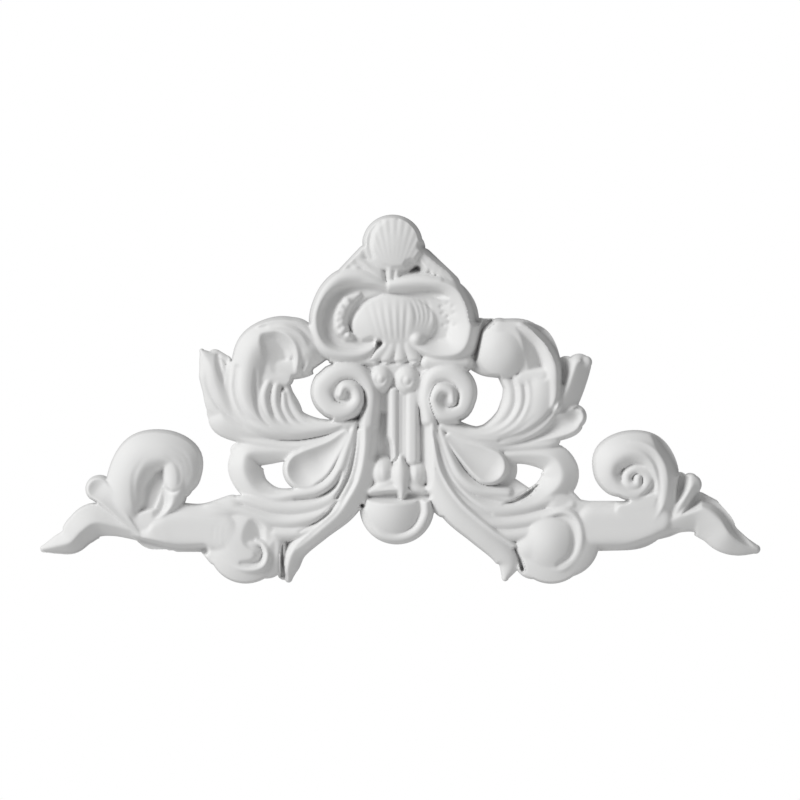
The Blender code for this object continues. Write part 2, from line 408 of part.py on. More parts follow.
def right_acanthus(r):
    # right acanthus
    # outer tip leaf and second lobe
    r.band([(70, -17, 4, 10), (79, -8, 6.5, 11.5), (85.2, 3, 5.8, 12.5), (88.4, 12, 5.8, 12.5),
           (90, 17, 5.6, 12)], steep=0.7, lean=0.35, power=1.2, cap=4, tilt=-0.25)
    r.band([(86, 18, 2.9, 10), (93.4, 18.7, 2.7, 9.5)], steep=0.3)
    r.band([(84.5, -47.5, 2.4, 8), (88, -51.5, 2.6, 8)], steep=0.2)
    r.band([(62, -19, 4, 10), (74, -15.5, 6, 11), (84, -11.5, 7.2, 11.5),
           (87.6, -8.6, 5.8, 11)], dip=0.8, rim=0.7, steep=0.5, cap=3)
    # stem that rises into the big curl
    r.band([(22, -13, 2, 13), (36, -18, 4, 13.5), (52, -17, 6, 14), (66, -9, 8.5, 15),
           (71, 1, 9, 16), (72.5, 12, 7.6, 16.5), (70, 22, 8, 17), (62, 30.5, 9, 17.5),
           (50, 34.5, 6, 17.5)],
      steep=0.4, cap=3)
    # ball of the curl, the socket beside it and the rim round both
    r.dome(51.6, 25, 12.8, 13.8, 19.5, 6.0, power=2.4)
    r.band([(62, 31, 5, 16), (66, 24, 7, 15), (66.5, 16, 6.6, 14), (66, 10, 6, 13.6)], steep=0.1)
    r.pocket([(60.5, 31.5, 0.6, 15.8), (64.5, 27.6, 3.2, 13.6), (66.8, 23, 5.2, 12.4),
           (67.0, 19.4, 5.4, 11.8)], wall=1.8, tilt=0.5)
    r.band([(77.2, -3, 3.0, 16.5), (76.6, 9, 3.6, 17.2), (76.0, 20, 4.2, 17.5),
           (70.6, 30.5, 4.8, 17.5), (60.5, 35.8, 4.0, 17)], steep=0.8, lean=-0.3, cap=5)
    # black recess beside the ball and the steep outer wall of the curl
    r.pocket([(46, 39.6, 0.4, 4), (42, 37.6, 1.5, 4), (39.4, 34, 1.5, 4), (38.4, 27, 0.9, 4),
           (38, 20, 0.4, 6)], wall=7)
    r.pocket([(60, 39.8, 0.1, 15), (70, 35.8, 0.8, 5), (76.6, 29.5, 1.0, 4), (81.4, 21, 1.2, 4),
           (82.6, 14.5, 0.8, 5), (82, 8, 0.3, 8)], wall=4)
    r.pocket([(93, -3.4, 0.4, 6), (88, -4.4, 0.3, 9)], wall=3)
    # leaflets that sweep back along the stem
    r.band([(52, 12.5, 2.4, 12), (55.5, 5, 3, 12.5), (55, -3, 3.6, 12.5), (50, -11, 3.6, 12.5),
           (41, -16.5, 2.6, 12.5), (33, -16, 2.6, 12.5)], steep=0.7)
    r.band([(57.5, 12, 1.2, 13.4), (60.5, 5, 2.4, 14.6), (60, -4, 2.4, 14.6), (54.6, -12, 1.8, 14.3),
           (45, -17, 1.0, 14), (35, -18, 0.4, 13.5)], steep=0.5)
    r.band([(62.5, 12, 1.2, 14), (65, 5, 2.2, 15.2), (64.4, -3, 2.2, 15.2), (59.4, -12, 1.6, 14.8),
           (50, -18, 1.1, 14.2), (39, -19.6, 0.4, 13.6)], steep=0.5)
    r.groove([(80.6, 12, 0.8, 1), (79.6, 2, 1.1, 1.5), (74.4, -8, 1.3, 1.6), (64, -16, 1.2, 1.2),
           (50, -20.5, 1.0, 1.0)])
    r.band([(26, -17, 1.5, 12), (40, -22.5, 2.4, 12), (56, -24, 2.6, 11), (72, -22.5, 2.8, 10.5),
           (78, -20.5, 2.2, 10)], steep=0.6)
    # loop round the open eye, and the spoon
    r.band([(54, -28, 3.6, 11), (65, -27.8, 4.6, 11), (76, -29.4, 7.4, 11.5), (80, -35.5, 9.2, 12),
           (79.4, -41.5, 8.6, 12), (73, -48, 7, 12), (64, -51, 5.6, 12),
       (52, -49, 3.4, 12.5), (40, -46, 3, 13)], steep=0.7, lean=0.1, power=1.3, cap=5)
    r.band([(32, -25, 4, 8), (41, -31, 8, 8), (47, -34.8, 11.6, 8)], steep=0.1)
    r.band([(25, -19, 2, 13), (31.5, -24.6, 5, 13.5), (39.5, -30, 8.6, 14),
           (44.6, -33.4, 9.8, 14.4)], dip=0.6, rim=0.8, steep=0.45, cap=4.5, solid=False)
    r.band([(20, -14, 1.2, 13), (25, -28, 2.2, 14), (31, -39, 2.8, 14.5), (41, -45.5, 2.8, 14),
           (54, -47, 2.4, 13)], steep=0.8)
    r.groove([(30, -17.5, 0.5, 0.2), (42, -21, 0.8, 0.5), (56, -20.5, 0.9, 0.6), (70, -14, 0.8, 0.5),
           (78, -6, 0.5, 0.2)])
    r.groove([(30, -15.5, 0.5, 0.2), (44, -19.2, 0.7, 0.4), (58, -16, 0.8, 0.5), (68, -8, 0.6, 0.2)])
    # fan of ribs above the blade
    r.band([(19, -18, 1.4, 13), (24, -36, 2.8, 14), (33, -49, 3.8, 14.5), (46, -55, 4.2, 14),
           (62, -54, 3.6, 13), (76, -49.5, 3, 12)], steep=0.6)
    r.band([(22, -34, 1.6, 13), (31, -51, 3, 14), (46, -61, 3.8, 14), (62, -61, 3.6, 13.5),
           (76, -57, 3, 13), (86, -53, 2.4, 12)], steep=0.7)
    r.band([(46, -66, 1.4, 13), (58, -67.5, 3.2, 13.5), (70, -65, 3, 13)], steep=0.6)
    # blade with its fine ridge, and the grooves between the ribs
    r.band([(15, -6, 2.6, 14.5), (16.4, -26, 4.0, 15), (19.7, -42, 6.4, 15.5), (27.8, -55, 7.0, 16),
           (40, -66.0, 6.4, 15), (50.5, -75, 6.0, 13), (54.7, -81.5, 5.4, 11), (53, -89.4, 1.3, 7)],
      steep=0.5, lean=0.1, cap=4)
    r.band([(17, -20, 0.7, 15.5), (20.5, -36, 0.9, 16), (30, -51, 1.2, 16.5), (44, -63.5, 1.2, 15.5),
           (57, -73, 1, 13)], steep=1.0, solid=False)
    r.groove([(17.5, -16, 0.7, 0.8), (20.5, -28, 0.9, 1.2), (26, -40, 1.1, 1.5), (35, -50, 1.0, 1.2),
           (46, -57, 0.8, 0.8)])
    r.groove([(51.5, -52.6, 0.5, 1), (58, -50.6, 1.2, 3.5), (64, -47.4, 1.4, 5),
           (69.5, -42.8, 0.7, 2.5)])
    r.groove([(57.5, -74, 0.7, 2), (60, -80, 1.2, 5), (61.5, -85, 1.2, 7)])


def centre(r):
    # centre
    # stem: two recesses and three reeds
    r.pocket([(-8.2, 2, 2.6, 8), (-8.2, -20, 2.8, 6.5), (-8.2, -28, 3.0, 4.5)], wall=2.5)
    r.pocket([(11, -4, 1.0, 9), (11.6, -42, 1.2, 9)], wall=1.5)
    r.band([(-3.0, 4, 2.0, 13), (-2.9, -28, 2.0, 13)], steep=0.6, power=5)
    r.band([(6.4, 2, 2.8, 13), (6.4, -30, 3, 13)], steep=0.6, power=5)
    r.band([(1.4, 3, 2.2, 11.6), (1.4, -28, 2.2, 11.6)], steep=0.4, power=4)
    r.groove([(1.4, 2, 0.5, 0.8), (1.4, -27, 0.5, 0.8)])
    r.pocket([(-6.6, -22.5, 1.3, 3.5), (-6.6, -30, 1.5, 3.5)], wall=6)
    # pendant: boss, rim, inner dome and the shadow line over it
    r.band([(-14, -52, 3.6, 6), (15, -52, 3.6, 6)], steep=0.1)
    r.dome(-1.3, -54.3, 18.2, 17.9, 12.5, 3.5)
    r.band([(-15, -55, 2.4, 13), (-9.5, -66, 2.4, 13), (-1, -69, 2.2, 13), (8, -66, 2.4, 13.5),
           (13, -58, 2.2, 14), (13.2, -50, 1.6, 14)], steep=0.6, solid=False)
    r.dome(-3.5, -54.5, 12.8, 12.6, 17, 4.5, solid=False)
    r.pocket([(-15, -48.3, 0.7, 8), (14, -48.3, 0.7, 8)], wall=3)
    r.pocket([(-18.7, -53.2, 0.3, 4)], wall=7)
    # husk: two leaves and a bud
    r.band([(-14.5, -46, 1.4, 12.6), (-9, -44, 2.6, 13.4), (-3.6, -40.6, 1.8, 12.8)], steep=0.6)
    r.band([(12, -45.6, 1.4, 12.4), (8.4, -44, 2.2, 13), (4, -41, 1.6, 12.6)], steep=0.6)
    r.dome(-8.4, -36.8, 5.2, 6.4, 14.2, 3.4)
    r.groove([(-9.4, -31.5, 0.5, 0.1), (-9.8, -36.6, 0.7, 0.5), (-8.4, -41.6, 0.5, 0.1)])
    r.dome(8.6, -37.6, 4.6, 6.2, 14, 3.4)
    r.groove([(9.4, -32.6, 0.5, 0.1), (9.8, -37.4, 0.7, 0.5), (8.6, -42, 0.5, 0.1)])
    r.pocket([(13, -42.4, 0.4, 8)], wall=4)
    r.band([(0.6, -29, 1, 13), (0.6, -37, 4.2, 16), (1.2, -45.5, 2.2, 15),
           (1.3, -48.5, 0.8, 14)], steep=0.7)


def volutes(r):
    # volutes
    # left volute
    r.dome(-29.8, 4.0, 14.4, 13.9, 14.5, 2)
    r.band([(-16, -12, 3.8, 15), (-14.4, 3, 3.2, 15.5), (-20, 12.5, 4, 16), (-30, 13, 4.6, 16.5),
           (-38.3, 5, 5.4, 17), (-34.5, -4, 5.0, 17.5), (-26, -5.5, 3.8, 18),
       (-20.8, -0.5, 3.0, 18.2), (-22.5, 5.5, 2.4, 18.4), (-27.5, 6.5, 2.0, 18.4),
           (-29.5, 2.5, 1.5, 18.4)], steep=0.75, cap=2.4, power=2.6, per=6)
    r.groove([(-17.8, 4, 0.7, 1.2), (-17.3, -3, 1.0, 3), (-20.5, -8.8, 1.1, 3), (-27, -10.2, 0.7, 1.2)])
    # right volute
    r.dome(23.4, 3.6, 15.2, 14.6, 14.5, 2)
    r.band([(14.8, -10, 3.2, 15), (13.6, 2, 3.2, 15.5), (17, 11, 4, 16), (26, 12.5, 4.6, 16.5),
           (33, 5, 5, 17), (31, -5, 4.4, 17.5), (22, -7.5, 3.6, 18),
       (17, -1, 3.0, 18.2), (20, 5, 2.6, 18.4), (25.5, 4, 2, 18.4),
           (26.5, -1, 1.4, 18.4)], steep=0.75, cap=2.4, power=2.6, per=6)
    r.groove([(9.6, 3, 0.5, 0.3), (12, 12, 0.8, 0.7), (20, 17, 0.8, 0.7), (30, 15.5, 0.6, 0.4)])


def crown(r):
    # crown
    # shoulders, and the top shell with its edge groove
    r.band([(-26.5, 59.5, 6.4, 12), (-16.5, 72.5, 4.7, 12)], steep=0.3)
    r.band([(24, 57, 6.2, 12), (11, 70, 5.8, 12)], steep=0.3)
    r.band([(-30, 61, 5.6, 14), (-22.5, 69, 5.2, 14.6),
           (-16, 76.5, 4, 14.8)], steep=0.5, power=2.4, solid=False)
    r.band([(27, 59.5, 5.0, 14), (17, 68, 4.6, 14.4),
           (10.5, 74, 3, 14.6)], steep=0.5, power=2.4, solid=False)
    r.dome(-3.5, 78.3, 14.6, 13.9, 17.6, 2.6)
    r.dome(-1.6, 78.6, 12.8, 12.2, 18.6, 1.6, ribs=(-3, 56, 24, 7, 0.16, 0), solid=False)
    r.dome(9, 76, 3.5, 5, 12, 2)
    r.dome(-15, 79, 3.2, 5, 13, 2)
    r.groove([(-13.6, 70.5, 1.1, 0.6), (-14.6, 77.5, 1.3, 1.1), (-12.8, 84.5, 1.1, 0.9),
           (-8.6, 88.6, 0.8, 0.5)])
    r.groove([(-0.5, 92, 0.9, 1.6), (-0.5, 89.8, 0.6, 0.8)])
    r.groove([(-9.2, 91, 0.7, 0.8), (-8.6, 88.4, 0.5, 0.4)])
    # ridge below the shell, with two reeds, and the leaf tuft at its left
    r.band([(-3, 62, 6, 13), (-3, 72, 8, 15)], steep=0.3)
    r.band([(-4.5, 82, 0.5, 18.3), (-4.6, 70, 1.3, 16.8), (-4.8, 60, 1.5, 14.8)], steep=0.5)
    r.band([(-0.6, 74, 0.6, 17.4), (-1.0, 67, 1.2, 15.4), (-1.6, 60, 1.3, 14.4)], steep=0.5)
    r.band([(-21, 69.5, 2.0, 15.2), (-15.5, 66.4, 3.4, 15.8), (-11, 62.8, 3.2, 15.8),
           (-8.8, 59.6, 1.6, 15)], steep=0.7)
    for k in range(3):
        r.groove([(-20 + 2.4 * k, 70.6 - 0.4 * k, 0.5, 0.2),
           (-15.6 + 2.2 * k, 67.8 - 1.4 * k, 0.7, 0.6), (-12.6 + 1.6 * k, 63.6 - 1.4 * k, 0.5, 0.2)])
    for x, z, rx, rz in ((-19.5, 73, 2.6, 2.8), (-23.4, 69.6, 2.8, 2.4), (-27.4, 66.4, 2.8, 2.2),
           (-21.8, 65.4, 2.4, 1.8)):
        r.dome(x, z, rx, rz, 15.4, 1.2, solid=False)
    for x in (12.5, 15.6, 18.7, 21.8):
        r.band([(x - 1.6, 70.2 - 0.62 * (x - 12), 0.9, 14.6), (x + 1.6, 65.6 - 0.62 * (x - 12),
           1.1, 14.6)], steep=0.6, solid=False)
    # screw hole in its shallow socket
    r.pocket([(6.2, 65.6, 3.0, 13.2)], wall=2.4)
    r.pocket([(7.6, 63.4, 1.7, 4), (8.6, 65.0, 1.0, 4)], wall=6)
    # lower shell with its flutes, and the ribbed neck
    r.dome(-3.4, 38.5, 21, 13.5, 17, 4.6)
    for x, deep in ((-11, 0.1), (-7.4, 0.16), (-3.6, 0.22), (0, 0.25), (3.4, 0.3)):
        r.groove([(x * 1.15, 50.5, 0.7, 0.1), (x, 42, 1.3, deep), (x * 0.75, 31, 1.0, deep)])
    for k in range(4):
        r.groove([(4.6 + 2.6 * k, 51, 0.6, 0.1), (7.2 + 2.4 * k, 46.4, 1.1, 0.5),
           (8.4 + 2.2 * k, 40.6, 1.1, 0.5), (7.2 + 1.8 * k, 34, 0.6, 0.1)])
    r.band([(-2, 28, 8, 12), (-2.5, 22, 11.5, 12)], steep=0.1)
    for top, foot in ((-8, -13), (-4, -6.5), (0.3, 0.5), (4.8, 7.4)):
        r.band([(top, 32, 1.8, 14.6), (top * 0.9, 27, 2.0, 14.4), (foot, 20.6, 2.8, 14)], steep=0.35)
    r.groove([(-14, 19.2, 0.7, 1.2), (-2, 18.4, 0.8, 1.6), (10, 19.2, 0.7, 1.2)])
    # two buds, each with a small whorl
    for x, z, rx, rz in ((-9.3, 10.5, 5.2, 6.2), (3.8, 9.6, 5.8, 6.6)):
        r.dome(x, z, rx, rz, 15.5, 3.2, power=3)
        r.groove([(x - 1.8, z + 1.8, 0.6, 0.6), (x - 2.2, z - 1.2, 0.7, 1.1),
           (x + 0.4, z - 2.6, 0.7, 1.1), (x + 2.2, z - 0.6, 0.6, 0.7)])
        r.dome(x + 0.2, z + 0.4, 1.5, 1.5, 16.2, 0.9, solid=False)
    # floor inside the straps, beaded strip at the left, pitted slope at the right
    r.band([(-5, 55.5, 1.2, 12), (-14, 59, 3.6, 12), (-23, 59.8, 5, 12), (-31.5, 56, 5.4, 12),
           (-36.5, 48.5, 6.2, 11), (-38.6, 39.5, 6.2, 11), (-35.5, 29.5, 6.4, 11),
       (-26, 25.5, 5.4, 11), (-16, 25.5, 3.8, 11), (-10.5, 28, 1.4, 11)], steep=0.1)
    r.band([(-20.5, 52.4, 1.0, 13.5), (-26, 48.4, 2.6, 14.4), (-29.2, 42, 3.0, 14.8),
           (-29.4, 35.5, 2.8, 14.6), (-26.6, 31, 1.4, 13.5)], steep=0.5, power=2.6, solid=False)
    for k in range(12):
        t = k / 11
        r.dome(-25 - 18 * t * (1 - t) - 1.6 * t + (1.1 if k % 2 else -1.1),
           49.5 - 17.5 * t, 1.6, 1.3, 15.0, 0.6, solid=False)
    # the two straps that meet over the shell
    r.band([(-5.2, 55.6, 1.4, 15), (-12, 58.6, 3.4, 16.6), (-20, 61.4, 4.4, 17.2),
           (-28.5, 60.4, 4.6, 17.4), (-35.2, 55.2, 4.2, 17.6), (-39.4, 47.5, 4.0, 17.6),
           (-41.4, 40, 3.6, 17.4), (-40.2, 31.5, 3.4, 17),
       (-35.6, 25.2, 3.4, 16.6), (-27, 22.6, 3.0, 16.2), (-18.5, 23, 2.6, 15.6),
           (-12.6, 26.2, 1.6, 14.6), (-10.6, 29.4, 0.8, 14)], steep=0.8, lean=-0.1, power=2.0, cap=4)
    r.band([(-5, 55.5, 1.2, 16), (5, 56.8, 3.2, 17), (15, 57, 4.2, 18), (24.5, 54, 6.4, 18),
           (30.8, 46, 7.2, 18), (32.4, 36, 7.0, 17.5), (29, 26.5, 7.2, 17), (20, 24, 5.2, 16),
       (12.5, 26, 4.2, 15.5), (8, 28, 2.8, 15)], steep=0.95, lean=0.42, power=1.3, cap=6)
    r.band([(-4.6, 57.2, 1.4, 16.4), (3, 58.2, 2.6, 17.2), (12, 59, 2.6, 17.6),
           (20, 58.4, 2.0, 17.8)], steep=0.5, solid=False)
    r.pocket([(-1, 52.8, 0.3, 13.5), (6, 52.4, 1.0, 11.8), (14, 52.4, 1.6, 11.4), (20, 52, 1.2, 12),
           (24, 51, 0.4, 14)], wall=2.6)
    r.pocket([(-7, 54, 0.3, 12.5), (-14, 54.6, 0.7, 11), (-24, 54.6, 1.0, 10.8),
           (-31, 51, 1.6, 10.6), (-35.4, 43, 2.0, 10.5), (-35.2, 34, 2.0, 10.5),
           (-31, 28.6, 1.6, 10.8), (-22, 27.2, 1.4, 10.8), (-14, 29, 1.0, 11)], wall=2.2)
    r.groove([(-9, 52.6, 0.6, 0.6), (-16, 49.4, 1.2, 1.8), (-21.6, 44.4, 1.4, 2.4),
           (-24.4, 38, 1.4, 2.2), (-23.6, 31.6, 0.9, 1.2)])
    for k in range(9):
        r.groove([(22.0 + 2.8 * (k % 3) - 0.6 * (k // 3), 37 + 4.6 * (k // 3) + 1.4 * (k % 2),
           0.9, 0.4), (22.9 + 2.8 * (k % 3) - 0.6 * (k // 3), 38 + 4.6 * (k // 3) + 1.4 * (k % 2),
           0.7, 0.1)])
    # rolled ends of the straps, dark nook under the left one, ledges below
    r.dome(8.6, 30.2, 3.6, 3.4, 17, 2.6, solid=False)
    r.pocket([(-10.1, 27.9, 0.7, 7), (-12.2, 24.4, 0.1, 12), (-14.8, 20, 0.1, 12.5)], wall=5)
    r.band([(-34, 20.5, 2, 12), (-24, 20, 2.4, 13), (-15, 19.5, 2, 13)], steep=0.5)
    r.band([(33, 19, 3, 13), (24, 18.5, 3, 14), (14, 18.5, 3, 14)], steep=0.5)
    # steep outer wall down the right of the crown
    r.pocket([(12.6, 76.4, 0.3, 4.5), (20, 70.4, 0.5, 4.5), (27.5, 64.6, 0.9, 4.5),
           (34.4, 55.5, 1.5, 4.5), (38, 47, 1.4, 4.5), (39.4, 40, 1.2, 4)], wall=4)


def openings(r):
    # slots between the forms
    r.hole([(-36.5, 18.6, 1.6), (-42, 14.2, 2.0)])


FORMS = (low_ground, wings, lower_curls, left_acanthus, right_acanthus, centre, volutes, crown,
           openings)

relief = Relief()
for carve in FORMS:
    carve(relief)
surface = relief.drafted()

# grid cells whose middle lies inside the outline; cells that touch only at a corner are joined
field = relief.inside
middle = (field[:-1, :-1] + field[1:, :-1] + field[:-1, 1:] + field[1:, 1:]) / 4
keep = middle > 0
while True:
    a, b, c, d = keep[:-1, :-1], keep[:-1, 1:], keep[1:, :-1], keep[1:, 1:]
    down = a & d & ~b & ~c
    up = b & c & ~a & ~d
    if not (down.any() or up.any()):
        break
    keep[:-1, 1:] |= down
    keep[:-1, :-1] |= up

# border vertices slide on to the outline along the slope of the inside field
slope_z, slope_x = np.gradient(field, GRID)
steep = np.maximum(slope_x ** 2 + slope_z ** 2, 0.25)
count = np.zeros(field.shape, int)
for j in (0, 1):
    for i in (0, 1):
        count[j:j + keep.shape[0], i:i + keep.shape[1]] += keep
edge = (count > 0) & (count < 4)
slide = np.clip(field / steep, -0.8 * GRID, 0.8 * GRID) * edge
place_x = relief.grid_x - slide * slope_x
place_z = relief.grid_z - slide * slope_z
surface = np.where(edge, np.minimum(surface, LAND), surface)

# front from the kept cells, the same cells flat at the back, walls between them
used = count > 0
number = np.full(field.shape, -1)
number[used] = np.arange(used.sum())
total = int(used.sum())
front = np.stack([place_x[used], -surface[used], place_z[used]], 1)
back = front * np.array([1, 0, 1])
corner = np.stack([number[:-1, :-1][keep], number[:-1, 1:][keep], number[1:, 1:][keep], number[1:,
           :-1][keep]], 1)
sides = np.concatenate([corner[:, [0, 1]], corner[:, [1, 2]], corner[:, [2, 3]], corner[:, [3, 0]]])
codes = sides[:, 0] * total + sides[:, 1]
reverse = sides[:, 1] * total + sides[:, 0]
border = sides[~np.isin(reverse, codes)]
walls = np.stack([border[:, 1], border[:, 0], border[:, 0] + total, border[:, 1] + total], 1)
faces = np.concatenate([corner, corner[:, ::-1] + total, walls])

mesh = bpy.data.meshes.new("onlay")
mesh.from_pydata(np.concatenate([front, back]) * MM, [], faces.tolist())
onlay = bpy.data.objects.new("onlay", mesh)
collection = bpy.data.collections.new("shell_and_scroll_onlay")
bpy.context.scene.collection.children.link(collection)
collection.objects.link(onlay)

# the even grid thinned to large facets where the carving is plain
thin = onlay.modifiers.new("thin", "DECIMATE")
thin.ratio = FACETS / (2 * len(faces))
thin.use_collapse_triangulate = True
thinned = bpy.data.meshes.new_from_object(onlay.evaluated_get(bpy.context.evaluated_depsgraph_get()))
onlay.modifiers.clear()
onlay.data = thinned
bpy.data.meshes.remove(mesh)
thinned.name = "onlay"

bm = bmesh.new()
bm.from_mesh(thinned)
for v in bm.verts:
    if v.co.y > -BACK_BAND * MM:
        v.co.y = 0.0
bmesh.ops.dissolve_degenerate(bm, edges=bm.edges, dist=0.00002)
bmesh.ops.triangulate(bm, faces=bm.faces)
bmesh.ops.recalc_face_normals(bm, faces=bm.faces)
bm.to_mesh(thinned)
bm.free()

white = bpy.data.materials.new("primed_white")
white.use_nodes = True
shader = white.node_tree.nodes["Principled BSDF"]
shader.inputs["Base Color"].default_value = (0.86, 0.86, 0.85, 1.0)
shader.inputs["Roughness"].default_value = 0.6
thinned.materials.append(white)
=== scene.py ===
# Shell and scroll onlay in primed white polyurethane: one casting, carved as a height over its flat back.
import math

import bpy
import numpy as np
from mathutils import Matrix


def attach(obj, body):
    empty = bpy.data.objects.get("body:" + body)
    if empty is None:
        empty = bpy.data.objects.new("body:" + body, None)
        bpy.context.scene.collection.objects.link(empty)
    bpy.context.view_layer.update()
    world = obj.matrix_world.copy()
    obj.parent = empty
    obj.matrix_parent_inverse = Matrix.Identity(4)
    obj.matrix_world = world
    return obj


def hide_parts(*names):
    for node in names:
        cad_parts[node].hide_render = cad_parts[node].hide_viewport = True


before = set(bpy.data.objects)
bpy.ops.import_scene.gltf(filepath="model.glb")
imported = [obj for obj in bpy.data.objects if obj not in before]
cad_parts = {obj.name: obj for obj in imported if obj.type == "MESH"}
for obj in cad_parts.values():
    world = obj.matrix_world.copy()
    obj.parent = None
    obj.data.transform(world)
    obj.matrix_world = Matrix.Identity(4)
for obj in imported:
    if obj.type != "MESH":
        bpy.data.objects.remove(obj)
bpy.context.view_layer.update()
mm = 0.001
far = 1000.0  # millimetres, further than any distance on the casting

# how finely the casting is worked out, and its moulded edge, in millimetres
casting = {
    "grid": 0.42,  # spacing of the relief grid
    "across": (-182, 183),                # reach of the grid to the left and right
    "upright": (-96, 96),                 # and down and up
    "triangles": 192000,                  # after thinning
    "land": 6.0,                          # upright edge at the back
    "draft": 5.0,                         # height gained per millimetre inwards
    "draftReach": 6.0,                    # how far inwards the draft is worked out
    "least": 3.0,                         # thinnest ground
    "outset": 0.45,                       # growth of the outline
    "edgeBlend": 1.2,                     # rounding between carving and draft
    "formBlend": 0.4,                     # rounding where two forms meet
    "wall": 3.0,                          # height lost per millimetre outside a form
    "coat": 0.42,                         # how far the coat of primer softens a crease
    "coatHold": 1.1,                      # steps higher than this keep their shape
    "steps": 8,                           # stretches between two given rows of a path
    "bandReach": 6.0,                     # how far past its width a band is worked out
    "grooveReach": 1.0,
    "pocketReach": 8.0,
    "holeReach": 4.0,
    "finest": 0.05,                       # no form is narrower than this
    "hollowReach": 2.0,                   # how far round a place its hollowness is judged
    "hollowDepth": 4.0,                   # depth that counts as fully hollow
    "hardEdge": 80,                       # degrees between faces that keep a hard edge
}


def through(points, per):
    # rows on a smooth path through the given rows: each stretch is a cubic set by its four nearest rows
    p = np.array(points, float)
    if len(p) == 1:
        step = np.zeros_like(p)
        step[0, 0] = 0.01
        return np.vstack([p, p + step])
    t = np.linspace(0, 1, per, endpoint=False)[:, None]
    if len(p) == 2:
        return np.vstack([p[0] * (1 - t) + p[1] * t, p[1]])
    q = np.vstack([2 * p[0] - p[1], p, 2 * p[-1] - p[-2]])
    rows = []
    for a, b, c, d in zip(q, q[1:], q[2:], q[3:]):
        turn = (2 * a - 5 * b + 4 * c - d) * t ** 2 + (3 * b - a - 3 * c + d) * t ** 3
        rows.append(0.5 * (2 * b + (c - a) * t + turn))
    return np.vstack(rows + [p[-1]])


def blurred(a, radius, grid):
    # mean over a square, three times over, by running sums along each axis
    n = max(1, int(radius / grid))
    for _ in range(3):
        for axis in (0, 1):
            padded = np.pad(a, [(n + 1, n) if k == axis else (0, 0) for k in (0, 1)], mode="edge")
            total = np.cumsum(padded, axis)
            high = np.take(total, range(2 * n + 1, total.shape[axis]), axis)
            low = np.take(total, range(0, total.shape[axis] - 2 * n - 1), axis)
            a = (high - low) / (2 * n + 1)
    return a


def rounding(one, other, blend):
    # what a rounded crossing adds to the higher of two surfaces: (blend - gap) squared over four blends
    gap = np.abs(one - other)
    return np.where(gap < blend, (blend - gap) ** 2 / (4 * blend), 0)


